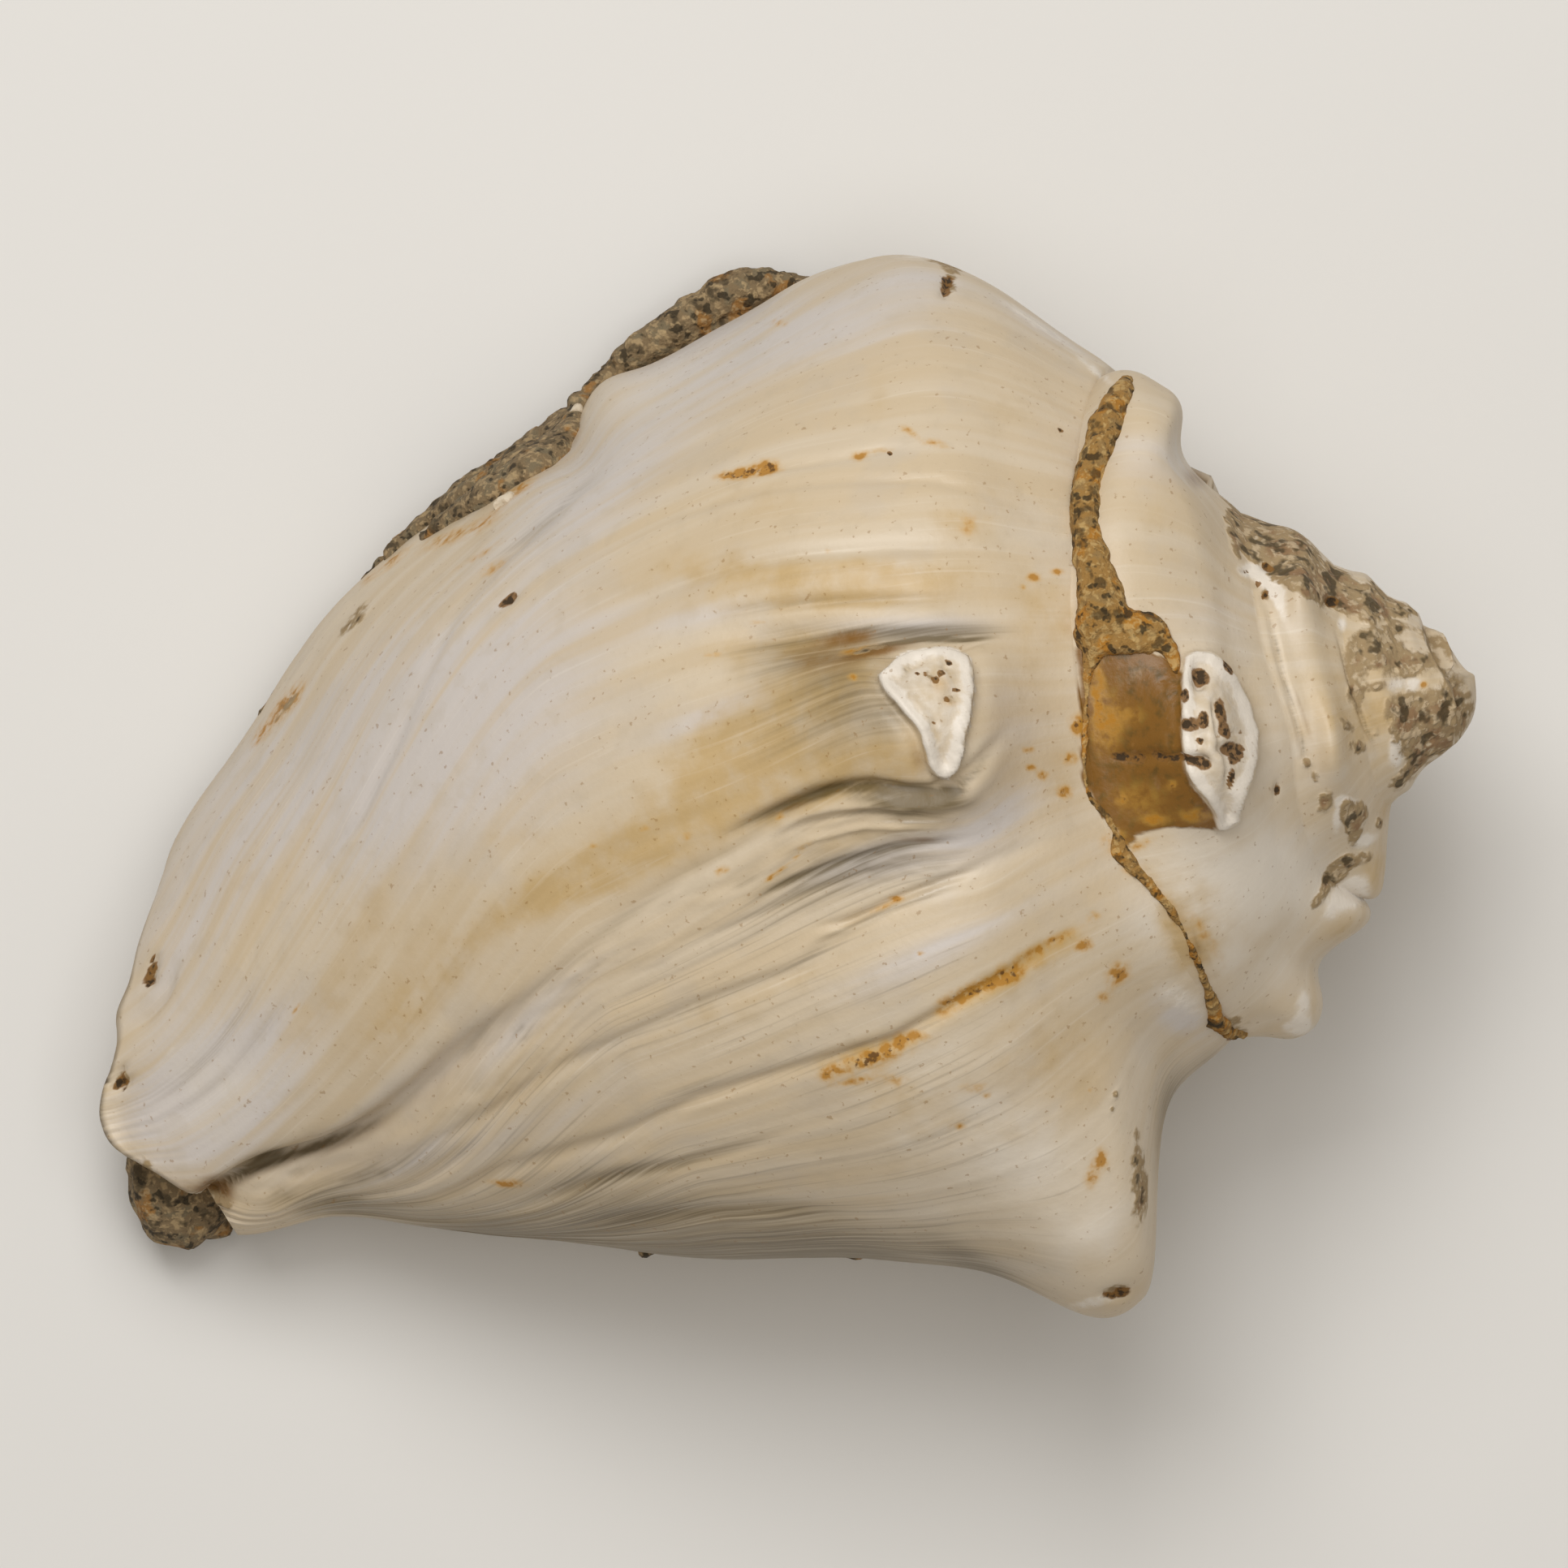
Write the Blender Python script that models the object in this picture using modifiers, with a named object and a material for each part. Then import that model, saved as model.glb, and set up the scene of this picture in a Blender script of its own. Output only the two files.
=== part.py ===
"""Fossil bubonian conch: a heavy knobbed sea shell with its mouth and its last suture still packed with sediment.

The shell lies on its mouth side. +X runs from the front tip of its canal to the apex, +Y is the side of the outer
lip, +Z is up, and the origin is under the middle of the box, on the ground.

The shell is one solid. It starts as two overlapping lofts, which are grown together into one skin: the body whorl,
a tube of growth lines, and the spire, a strip of whorls wound on a cone. The sediment in the mouth and the sediment
in the suture are a solid each. The shell is cut with the same two forms made one gap larger, so that each lies in a
hollow of its own shape.

Working sizes are millimetres in the plan view: a station is a distance along the shell from the apex towards the
canal, a turn is an angle round the shell from straight up (0) towards the lip (+90), and growth is the turn counted
on through the whorls, so that 110 is the edge of the lip and -250 is the start of the last whorl.
"""

import math

import bmesh
import bpy
import numpy as np

MM = 0.001
GAP = 0.35
WELD = 0.0001

# Where the plan view lies in the part's frame
APEX_X = 57.35
MIDDLE_SHIFT_Y = -0.3

# Middle line of the body whorl
STATIONS = [14, 20, 24, 31, 36, 42, 50, 60, 70, 80, 90, 98, 105, 113]
MIDDLE_Y = [0, 0, 0, 0, 0, 0, 0, -0.7, -1.8, -3.3, -5.5, -7.5, -9.5, -10.5]
MIDDLE_Z = [30, 29, 28.5, 27.5, 27, 26, 24.5, 22.5, 20, 17, 13.5, 11, 9.5, 8.5]

# Radius of the body whorl about that line: growth, then one radius for each station
WHORL_RADII = {
    -250: [20, 26, 28.4, 28.4, 27.2, 25.5, 23.5, 21, 18, 14.5, 10, 7.5, 6, 4.5],
    -202: [19, 24, 26.5, 28, 27.8, 26.6, 24.8, 22, 19, 15.6, 12.4, 10.2, 8.2, 5],
    -180: [19, 23.5, 25.5, 27, 27.4, 26.8, 24.9, 22.2, 19, 15.6, 12.4, 10.6, 8.4, 5],
    -90: [17, 21, 24, 27.6, 31, 34.5, 36.3, 33.4, 30, 24.9, 19.3, 14.4, 12.4, 9],
    0: [18, 20, 21.5, 23.5, 27, 30.5, 32, 31, 28.5, 25, 20, 15, 10.5, 6],
    45: [20, 23.5, 25.5, 30, 33, 34.5, 35, 33.5, 31, 27.5, 22.5, 18, 13.5, 8],
    85: [23, 28.5, 32.6, 39.8, 42.2, 41.4, 38.7, 36, 33, 29.5, 25, 20.5, 16, 10],
}
BODY_START = -250
LIP_GROWTH = 110
LIP_EDGE_Y = [14, 20.5, 28, 36, 40.5, 42.4, 40.8, 37.9, 34, 29.2, 22.5, 15.5, 7.8, -6]
LIP_EDGE_Z = [24, 18, 11, 6.5, 5, 4.6, 4.5, 4.4, 4.3, 4.3, 4.5, 5.2, 7.5, 8]
LIP_THICKNESS = 4.2
LIP_INNER_DROP = 1.0
LIP_ROUNDING = 0.8

# Station where a growth line starts at the suture, and where it ends at the canal
SUTURE_STATION = {
    -250: 15, -202: 16, -180: 17, -135: 20, -90: 23.6, -45: 28, 0: 30.6, 20: 30, 45: 27.2, 70: 23.5, 90: 21, 110: 20,
}
FRONT_STATION = {
    -250: 103, -180: 104, -90: 105.8, -60: 107.5, -45: 110, -25: 113.6, 0: 114.6, 25: 113.8, 45: 112, 65: 111.4,
    85: 108, 110: 104,
}

# Growth lines crowd together on the right side of the canal, from this share of their way down
CROWDED_FROM = -90
CROWDING_START = 0.5
CROWDING_REACH = 0.45
CROWDING = 1.35
CROWDING_POWER = 1.6

# Knobs of the body whorl: growth, station, height, spread in degrees, reach back and reach forward
BODY_KNOBS = [
    (-84, 36.2, 12.0, 22, 3.6, 9.0),
    (10, 41.5, 6.0, 13, 4.8, 9.0),
    (-176, 33.0, 2.0, 20, 5.0, 8.0),
]
KNOB_STEEPNESS = 2.2

# Folds and valleys on the back: station, distance towards the lip, length, width, heading in degrees, height
BACK_RELIEF = [
    (46.0, 15.0, 10.0, 3.4, 7, -1.8),
    (50.0, -6.0, 13.0, 4.2, -14, -1.6),
    (60.0, 6.0, 14.0, 6.0, -8, 0.8),
]
# Groove where the lobe of the lip laps over the older growth lines of the canal: station, then place and depth
GROOVE_STATIONS = [68, 77, 85.7, 88.8, 95.5, 104.4, 108]
GROOVE_Y = [-7.5, -9.5, -12.2, -14.2, -17.3, -18.5, -20]
GROOVE_DEPTH = [0, 0.6, 1.3, 1.6, 2.1, 2.4, 2.0]
GROOVE_WIDTH = 1.6

# Cone of the spire, which leans up towards the apex
APEX_Z = 31.5
SPIRE_TILT = math.radians(6)
WHORL_SLANT = 0.11
CONE_TIP_RADIUS = 2.5
CONE_SLOPE = 1.0
LAST_SHOULDER = 18.0
WHORL_RATIO = 0.58
FLANK_SWELL = 1.14
MID_FLANK_SWELL = 1.06
SPIRE_START = -1675
SPIRE_END = -235

# The end of the spire's strip sinks under the body whorl over this many degrees
END_SINK = 0.15
END_SINK_TURN = 30
END_SINK_SHARE = 0.36

# The base of the spire runs on inside the body whorl
HIDDEN_FLANK = 10.5
SKIRT_SHARE = 1.4
SKIRT_DEPTH = 8
SKIRT_TAPER = 0.75
SPIRE_BASE = (42.0, 0.0, 26.0)
BODY_TOP = (32.0, 0.0, 27.0)
TIP_STATION = 0.2

# Radius of the last but one whorl below its shoulder, where the last whorl laps on to it
LAPPED_FLANK = {
    -595: 21, -540: 21.2, -495: 21.8, -450: 23.2, -405: 23.3, -360: 22.5, -315: 26.6, -270: 28.4, -250: 28.4,
}

# Knobs of the spire: growth, height as a share of the shoulder's radius, spread in degrees
SPIRE_KNOBS = [
    (-290, 0.30, 24), (-363, 0.32, 16), (-453, 0.40, 15), (-542, 0.22, 20),
    (-640, 0.16, 20), (-682, 0.12, 10), (-735, 0.12, 16), (-815, 0.38, 15), (-905, 0.15, 18),
]
SPIRE_KNOB_REACH = (0.17, 0.24)

# Sediment in the mouth: station, place and half width, height and half height of its middle
MOUTH_STATIONS = [27, 31, 36, 41, 46, 50, 55, 60, 66, 72, 80, 88, 95, 101, 106, 110, 113]
MOUTH_Y = [24.5, 27.5, 30.0, 31.0, 31.8, 31.5, 30.0, 27.6, 26.0, 23.4, 18.0, 12.0, 4.6, -4.0, -12.0, -16.0, -17.2]
MOUTH_HALF_WIDTH = [2.5, 6.0, 8.6, 10.6, 12.4, 12.5, 12.0, 10.0, 11.2, 11.0, 10.4, 8.6, 8.2, 8.0, 8.0, 6.6, 4.0]
MOUTH_Z = [9.0, 5.0, 2.6, 2.0, 1.8, 1.6, 1.6, 1.6, 1.6, 1.6, 2.0, 2.4, 3.0, 3.8, 4.6, 5.4, 6.0]
MOUTH_HALF_HEIGHT = [2.5, 5.5, 7.4, 8.0, 7.4, 7.2, 7.0, 6.8, 6.4, 6.2, 5.8, 5.4, 5.0, 4.8, 4.8, 4.4, 3.0]
MOUTH_BACK_POINT = 2.0
MOUTH_FRONT_POINT = 1.2

# Sediment in the suture: growth, then its radius
SUTURE_FILL = {-96: 0.5, -60: 0.75, -20: 0.8, 0: 1.1, 14: 1.8, 22: 2.3, 32: 1.7, 60: 1.7, 82: 1.5, 88: 0.8}
SUTURE_FILL_SETBACK = 0.7
SUTURE_FILL_STANDOUT = 0.5
SUTURE_FILL_POINT = 0.8
SUTURE_AXIS_Z = 27.0

# How finely the forms are divided
BODY_COLUMNS = 76
BODY_ROWS = 30
ROW_SPACING_POWER = 1.15
SPIRE_STEPS_PER_TURN = 36
SPIRE_SHARES = [0, 0.2, 0.36, 0.5, 0.62, 0.78, 1.0]
MOUTH_SIDES = 16
SUTURE_SIDES = 8
SUTURE_STEPS = 34
SKIN_VOXEL = 0.0007
SHELL_TRIANGLES = 6200

GROUND_SIZE = 0.2
GROUND_DEPTH = 0.04

SHELL_COLOUR = (0.62, 0.54, 0.43, 1)
MOUTH_COLOUR = (0.25, 0.19, 0.12, 1)
SUTURE_COLOUR = (0.30, 0.20, 0.11, 1)
SHELL_ROUGHNESS = 0.45
SEDIMENT_ROUGHNESS = 0.9
SHARP_ANGLE = math.radians(40)


def smooth_values(knots, values, at):
    """Cubic curve through the values at the knots, level past both ends. The values may differ from place to place."""
    knots = np.asarray(knots, float)
    at = np.clip(np.asarray(at, float), knots[0], knots[-1])
    values = np.asarray(values, float)
    values = values.reshape(values.shape + (1,) * (1 + at.ndim - values.ndim)) * np.ones(at.shape)
    rise = np.diff(values, axis=0) / np.diff(knots).reshape((-1,) + (1,) * at.ndim)
    slopes = np.concatenate([rise[:1], (rise[1:] + rise[:-1]) / 2, rise[-1:]])
    low = np.clip(np.searchsorted(knots, at, side="right") - 1, 0, len(knots) - 2)
    width = knots[low + 1] - knots[low]
    t = (at - knots[low]) / width

    def pick(array, index):
        return np.take_along_axis(array, index[None], axis=0)[0]

    return (
        (2 * t**3 - 3 * t**2 + 1) * pick(values, low)
        + (t**3 - 2 * t**2 + t) * width * pick(slopes, low)
        + (3 * t**2 - 2 * t**3) * pick(values, low + 1)
        + (t**3 - t**2) * width * pick(slopes, low + 1)
    )


def table_value(table, at):
    """Smooth value of a table of place and value."""
    return smooth_values(list(table), list(table.values()), at)


def bell(offset, back, forward):
    """1 at the middle, falling off over the reach back (towards the apex) and the reach forward."""
    reach = np.where(offset < 0, back, forward)
    return np.exp(-((np.abs(offset) / reach) ** KNOB_STEEPNESS))


def crowded_growth(growth, share):
    """Where a growth line lies, a share of its way down."""
    crowded = np.clip((share - CROWDING_START) / CROWDING_REACH, 0, 1) ** CROWDING_POWER
    span = LIP_GROWTH - CROWDED_FROM
    part = np.clip((growth - CROWDED_FROM) / span, 0, 1)
    return np.where(growth > CROWDED_FROM, CROWDED_FROM + span * part ** (1 + CROWDING * crowded), growth)


def back_relief(station, y):
    """Height of the folds, valleys and the groove of the canal at a place in the plan view."""
    height = np.zeros_like(station)
    for at_station, at_y, length, width, heading, amount in BACK_RELIEF:
        turn = math.radians(heading)
        along = (station - at_station) * math.cos(turn) + (y - at_y) * math.sin(turn)
        across = (y - at_y) * math.cos(turn) - (station - at_station) * math.sin(turn)
        height = height + amount * np.exp(-((along / length) ** 2) - (across / width) ** 2)
    groove_y = smooth_values(GROOVE_STATIONS, GROOVE_Y, station)
    depth = smooth_values(GROOVE_STATIONS, GROOVE_DEPTH, station)
    return height - depth * np.exp(-(((y - groove_y) / GROOVE_WIDTH) ** 2))


def body_point(growth, station):
    """Point of the body whorl's outer face."""
    middle_y = smooth_values(STATIONS, MIDDLE_Y, station)
    middle_z = smooth_values(STATIONS, MIDDLE_Z, station)
    edge_y = smooth_values(STATIONS, LIP_EDGE_Y, station) - middle_y
    edge_z = smooth_values(STATIONS, LIP_EDGE_Z, station) - middle_z
    edge_turn = np.degrees(np.arctan2(edge_y, edge_z))
    radii = [smooth_values(STATIONS, row, station) for row in WHORL_RADII.values()]
    radii.append(np.hypot(edge_y, edge_z))
    radius = smooth_values([*WHORL_RADII, LIP_GROWTH], radii, growth)
    for knob_growth, knob_station, height, spread, back, forward in BODY_KNOBS:
        around = np.exp(-(((growth - knob_growth) / spread) ** 2))
        radius = radius + height * around * bell(station - knob_station, back, forward)
    turn = np.radians(np.where(growth > 0, growth * edge_turn / LIP_GROWTH, growth))
    upward = np.clip(np.cos(turn) * 3, 0, 1)
    radius = radius + upward * back_relief(station, middle_y + radius * np.sin(turn))
    return np.stack([station, middle_y + radius * np.sin(turn), middle_z + radius * np.cos(turn)], axis=-1)


def body_columns():
    """Growth lines of the outer face, from suture to canal, then the rim of the lip."""
    growth = np.linspace(BODY_START, LIP_GROWTH, BODY_COLUMNS)
    share = np.linspace(0, 1, BODY_ROWS) ** ROW_SPACING_POWER
    growth_grid, share_grid = np.meshgrid(growth, share, indexing="ij")
    at = crowded_growth(growth_grid, share_grid)
    start = table_value(SUTURE_STATION, at)
    end = table_value(FRONT_STATION, at)
    outer = body_point(at, start + (end - start) * share_grid)
    rim = outer[-1] - np.array([0, LIP_THICKNESS, LIP_INNER_DROP])
    rim_middle = (outer[-1] + rim) / 2 - np.array([0, 0, LIP_ROUNDING])
    return np.concatenate([outer, [rim_middle, rim]])


def place(points):
    """Plan view in millimetres to the part's frame in metres."""
    points = np.array(points, float)
    points[..., 0] = APEX_X - points[..., 0]
    points[..., 1] += MIDDLE_SHIFT_Y
    return points * MM


def add_mesh(name, points, faces, collection):
    """Closed mesh object with its doubled points merged and its faces pointing out."""
    mesh = bpy.data.meshes.new(name)
    mesh.from_pydata([tuple(p) for p in place(points)], [], faces)
    work = bmesh.new()
    work.from_mesh(mesh)
    bmesh.ops.remove_doubles(work, verts=work.verts, dist=WELD)
    bmesh.ops.dissolve_degenerate(work, edges=work.edges, dist=WELD)
    bmesh.ops.recalc_face_normals(work, faces=work.faces)
    work.to_mesh(mesh)
    work.free()
    obj = bpy.data.objects.new(name, mesh)
    collection.objects.link(obj)
    return obj


def strip_faces(columns, rows, closed):
    """Faces between neighbouring columns of points, with the last row joined to the first if closed."""
    faces = []
    for i in range(columns - 1):
        for j in range(rows if closed else rows - 1):
            k = (j + 1) % rows
            faces.append((i * rows + j, i * rows + k, (i + 1) * rows + k, (i + 1) * rows + j))
    return faces


def fan_faces(centre, rim):
    """Triangles from one point to a closed rim of points."""
    return [(centre, start, end) for start, end in zip(rim, rim[1:] + rim[:1])]


def add_tube(name, sections, ends, collection):
    """Mesh object of a tube through the sections, closed with a fan to each of the two end points."""
    count, sides = sections.shape[:2]
    first_rim = list(range(sides))
    last_rim = [(count - 1) * sides + j for j in first_rim]
    faces = strip_faces(count, sides, closed=True)
    faces += fan_faces(count * sides, first_rim) + fan_faces(count * sides + 1, last_rim)
    return add_mesh(name, [*sections.reshape(-1, 3), *ends], faces, collection)


def add_body(name, collection):
    """The body whorl, with its lip, closed at the front and inside the spire."""
    sections = body_columns().transpose(1, 0, 2)
    return add_tube(name, sections, [BODY_TOP, sections[-1].mean(axis=0)], collection)


def shoulder_station(growth):
    """Distance of a whorl's shoulder from the apex, along the axis of the cone."""
    return LAST_SHOULDER * WHORL_RATIO ** (-(growth + 360) / 360)


def spire_profile(growth, share):
    """Distance along the cone's axis and radius, before the knobs."""
    shoulder = shoulder_station(growth)
    above = shoulder_station(growth - 360)
    lapped = growth > SPIRE_END - 360
    below = np.where(lapped, shoulder + 2 * HIDDEN_FLANK, shoulder_station(growth + 360))
    shoulder_radius = CONE_TIP_RADIUS + CONE_SLOPE * shoulder
    suture_radius = (CONE_TIP_RADIUS + CONE_SLOPE * above) * FLANK_SWELL
    flank_radius = np.where(lapped, table_value(LAPPED_FLANK, growth), shoulder_radius * FLANK_SWELL)
    mid_radius = np.where(lapped, flank_radius, shoulder_radius * MID_FLANK_SWELL)
    suture = (above + shoulder) / 2
    next_suture = (shoulder + below) / 2
    profile = {
        0: (suture, suture_radius),
        0.3: ((suture + shoulder) / 2, (suture_radius + shoulder_radius) / 2),
        0.5: (shoulder, shoulder_radius),
        0.75: ((shoulder + next_suture) / 2, mid_radius),
        1.0: (next_suture, flank_radius),
        SKIRT_SHARE: (next_suture + SKIRT_DEPTH, flank_radius * SKIRT_TAPER),
    }
    axial, radius = (smooth_values(list(profile), list(values), share) for values in zip(*profile.values()))
    return axial, radius, shoulder_radius


def spire_point(growth, share):
    """Point of the spire: share 0 is a whorl's upper suture, 0.5 its shoulder, 1 its lower suture."""
    axial, radius, shoulder_radius = spire_profile(growth, share)
    for knob_growth, height, spread in SPIRE_KNOBS:
        around = np.exp(-(((growth - knob_growth) / spread) ** 2))
        radius = radius + height * shoulder_radius * around * bell(share - 0.5, *SPIRE_KNOB_REACH)
    ending = np.clip((growth - SPIRE_END) / END_SINK_TURN + 1, 0, 1)
    radius = radius * (1 - END_SINK * ending * np.clip(share / END_SINK_SHARE, 0, 1))
    turn = np.radians(growth)
    lift = radius * np.cos(turn)
    y = radius * np.sin(turn)
    station = axial * math.cos(SPIRE_TILT) + lift * math.sin(SPIRE_TILT) - WHORL_SLANT * y
    z = APEX_Z - axial * math.sin(SPIRE_TILT) + lift * math.cos(SPIRE_TILT)
    return np.stack([station, y, z], axis=-1)


def add_spire(name, collection):
    """The strip of whorls, welded along the sutures, with a blunt tip and a base hidden in the body whorl."""
    turn = SPIRE_STEPS_PER_TURN
    columns = (SPIRE_END - SPIRE_START) * turn // 360 + 1
    growth = np.linspace(SPIRE_START, SPIRE_END, columns)
    grid = spire_point(*np.meshgrid(growth, SPIRE_SHARES, indexing="ij"))
    rows = len(SPIRE_SHARES)
    skirt = spire_point(growth[-turn - 1 :], np.full(turn + 1, SKIRT_SHARE))
    points = [*grid.reshape(-1, 3), *skirt, SPIRE_BASE, (TIP_STATION, 0.0, APEX_Z)]

    faces = strip_faces(columns, rows, closed=False)
    lower_edge = [(columns - 1 - turn + k) * rows + rows - 1 for k in range(turn + 1)]
    skirt_edge = [columns * rows + k for k in range(turn + 1)]
    for k in range(turn):
        faces.append((lower_edge[k], skirt_edge[k], skirt_edge[k + 1], lower_edge[k + 1]))
    end_column = [(columns - 1) * rows + j for j in range(1, rows)]
    faces.append((lower_edge[0], *end_column, skirt_edge[-1], skirt_edge[0]))
    base = columns * rows + turn + 1
    faces += fan_faces(base, skirt_edge)
    first_turn = [i * rows for i in range(turn + 1)] + list(range(rows - 2, 0, -1))
    faces += fan_faces(base + 1, first_turn)
    return add_mesh(name, points, faces, collection)


def add_mouth_fill(name, extra, collection):
    """Sediment that fills the mouth and the canal, as a tube of ellipses, larger all round by extra."""
    turn = np.linspace(0, 2 * math.pi, MOUTH_SIDES, endpoint=False)
    rows = zip(MOUTH_STATIONS, MOUTH_Y, MOUTH_HALF_WIDTH, MOUTH_Z, MOUTH_HALF_HEIGHT)
    sections = []
    for station, y, half_width, z, half_height in rows:
        along = np.full(MOUTH_SIDES, station)
        across = y + np.cos(turn) * (half_width + extra)
        upward = z + np.sin(turn) * (half_height + extra)
        sections.append(np.stack([along, across, upward], axis=-1))
    sections = np.array(sections)
    back = sections[0].mean(axis=0) - [MOUTH_BACK_POINT + extra, 0, 0]
    front = sections[-1].mean(axis=0) + [MOUTH_FRONT_POINT + extra, 0, 0]
    return add_tube(name, sections, [back, front], collection)


def add_suture_fill(name, extra, collection):
    """Sediment that lies in the last suture, as a tube that thins towards both ends, thicker all round by extra."""
    growth = np.linspace(min(SUTURE_FILL), max(SUTURE_FILL), SUTURE_STEPS)
    radius = table_value(SUTURE_FILL, growth) + extra
    path = body_point(growth, table_value(SUTURE_STATION, growth))
    path[:, 0] -= radius * SUTURE_FILL_SETBACK
    ahead = np.gradient(path, axis=0)
    ahead /= np.linalg.norm(ahead, axis=1, keepdims=True)
    outward = path * [0, 1, 1] - [0, 0, SUTURE_AXIS_Z]
    outward -= (outward * ahead).sum(axis=1, keepdims=True) * ahead
    outward /= np.linalg.norm(outward, axis=1, keepdims=True)
    sideways = np.cross(ahead, outward)
    path = path + outward * SUTURE_FILL_STANDOUT * radius[:, None]
    turn = np.linspace(0, 2 * math.pi, SUTURE_SIDES, endpoint=False)[None, :, None]
    ring = outward[:, None] * np.cos(turn) + sideways[:, None] * np.sin(turn)
    sections = path[:, None] + ring * radius[:, None, None]
    reach = ahead[[0, -1]] * radius[[0, -1], None] * SUTURE_FILL_POINT
    return add_tube(name, sections, [path[0] - reach[0], path[-1] + reach[1]], collection)


def apply_modifiers(obj):
    """Make the object's evaluated shape its own mesh."""
    mesh = bpy.data.meshes.new_from_object(obj.evaluated_get(bpy.context.evaluated_depsgraph_get()))
    obj.modifiers.clear()
    obj.data = mesh


def fuse(obj, other):
    """Grow two overlapping forms together into one skin, then thin out its faces."""
    work = bmesh.new()
    work.from_mesh(obj.data)
    work.from_mesh(other.data)
    work.to_mesh(obj.data)
    work.free()
    bpy.data.objects.remove(other)
    skin = obj.modifiers.new("Skin", "REMESH")
    skin.mode = "VOXEL"
    skin.voxel_size = SKIN_VOXEL
    apply_modifiers(obj)
    thin = obj.modifiers.new("Thin", "DECIMATE")
    thin.ratio = SHELL_TRIANGLES / (2 * len(obj.data.polygons))
    thin.use_collapse_triangulate = True
    apply_modifiers(obj)


def cut(obj, cutter):
    """Take the cutter's form out of the object."""
    modifier = obj.modifiers.new("Cut", "BOOLEAN")
    modifier.operation = "DIFFERENCE"
    modifier.solver = "EXACT"
    modifier.object = cutter
    apply_modifiers(obj)
    bpy.data.objects.remove(cutter)


def add_ground_cutter(collection):
    """Block under the ground, which wears flats where the shell and the sediment touch it."""
    bpy.ops.mesh.primitive_cube_add(size=1, location=(0, 0, -GROUND_DEPTH / 2))
    block = bpy.context.active_object
    block.name = "ground_block"
    block.dimensions = (GROUND_SIZE, GROUND_SIZE, GROUND_DEPTH)
    for old in list(block.users_collection):
        old.objects.unlink(block)
    collection.objects.link(block)
    return block


def dress(obj, name, colour, roughness):
    """Give the object its material and smooth shading."""
    material = bpy.data.materials.new(name)
    material.use_nodes = True
    shader = material.node_tree.nodes["Principled BSDF"]
    shader.inputs["Base Color"].default_value = colour
    shader.inputs["Roughness"].default_value = roughness
    obj.data.materials.clear()
    obj.data.materials.append(material)
    obj.data.shade_smooth()
    obj.data.set_sharp_from_angle(angle=SHARP_ANGLE)


def main():
    """Build the shell and its two fills of sediment."""
    for obj in list(bpy.data.objects):
        bpy.data.objects.remove(obj)
    parts = bpy.data.collections.new("fossil_conch")
    cutters = bpy.data.collections.new("cutters")
    for collection in (parts, cutters):
        bpy.context.scene.collection.children.link(collection)

    shell = add_body("shell", parts)
    fuse(shell, add_spire("spire_form", cutters))
    cut(shell, add_mouth_fill("mouth_form", GAP, cutters))
    cut(shell, add_suture_fill("suture_form", GAP, cutters))
    mouth = add_mouth_fill("aperture_matrix", 0, parts)
    suture = add_suture_fill("suture_matrix", 0, parts)
    for obj in (shell, mouth):
        cut(obj, add_ground_cutter(cutters))

    dress(shell, "worn_fossil_shell", SHELL_COLOUR, SHELL_ROUGHNESS)
    dress(mouth, "packed_sand", MOUTH_COLOUR, SEDIMENT_ROUGHNESS)
    dress(suture, "ochre_sediment", SUTURE_COLOUR, SEDIMENT_ROUGHNESS)


main()
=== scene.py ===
"""Looks of a fossil bubonian conch that lies on its mouth side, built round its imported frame.

The grown shell is two closed pieces that overlap inside the last suture, the body whorl and the spire. Each
is a grid that is wrapped round the shell's own form, its columns along the growth lines. The sediment in the
mouth and in the suture is remeshed from lumps and from the frame's solid, and roughened.

Plan-view sizes are millimetres: a station is a distance from the apex towards the canal, growth is the turn
round the shell in degrees (0 on top, 110 at the edge of the lip, -250 at the start of the last whorl), and a
share is how far down its growth line a point lies. Places on the back are given in the photograph's pixels.
"""

import logging
import math
from dataclasses import dataclass
from enum import Enum

import bpy
import numpy as np
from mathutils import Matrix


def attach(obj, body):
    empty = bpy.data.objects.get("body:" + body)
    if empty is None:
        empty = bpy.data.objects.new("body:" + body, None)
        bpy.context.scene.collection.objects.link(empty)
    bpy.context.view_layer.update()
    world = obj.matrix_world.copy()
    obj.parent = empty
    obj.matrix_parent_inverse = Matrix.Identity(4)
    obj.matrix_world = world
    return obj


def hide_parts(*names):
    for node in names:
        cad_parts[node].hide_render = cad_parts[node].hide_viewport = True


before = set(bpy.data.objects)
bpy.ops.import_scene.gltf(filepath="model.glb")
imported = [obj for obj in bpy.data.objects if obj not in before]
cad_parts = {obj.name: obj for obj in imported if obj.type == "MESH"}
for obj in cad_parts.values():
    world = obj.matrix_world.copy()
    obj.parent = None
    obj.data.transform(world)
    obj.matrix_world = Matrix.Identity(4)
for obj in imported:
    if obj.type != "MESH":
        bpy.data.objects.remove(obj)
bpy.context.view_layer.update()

LOG = logging.getLogger("conch")
MM = 0.001
TINY = 1e-9
# Metres: vertices closer than this are one, and a distance beyond the whole shell
MERGE_DISTANCE = 1e-6
FAR = 1.0

# Numbers that scramble a noise's cells into values without order
NOISE_PRIMES = (374761393, 668265263, 2147483647)
NOISE_SEED_STEP = 1013904223
NOISE_MIXERS = ((13, 1274126177), (16, 2246822519))
WORD = 0xFFFFFFFF
HALF_WORD = 0xFFFF
NOISE_GAIN = 1.3

Array = np.ndarray
Piece = bpy.types.Object
Mesh = bpy.types.Mesh
Row = tuple[float, ...]
Rows = tuple[Row, ...]
Pixel = tuple[float, float]
# Low and high end of a soft edge
Span = tuple[float, float]


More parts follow.
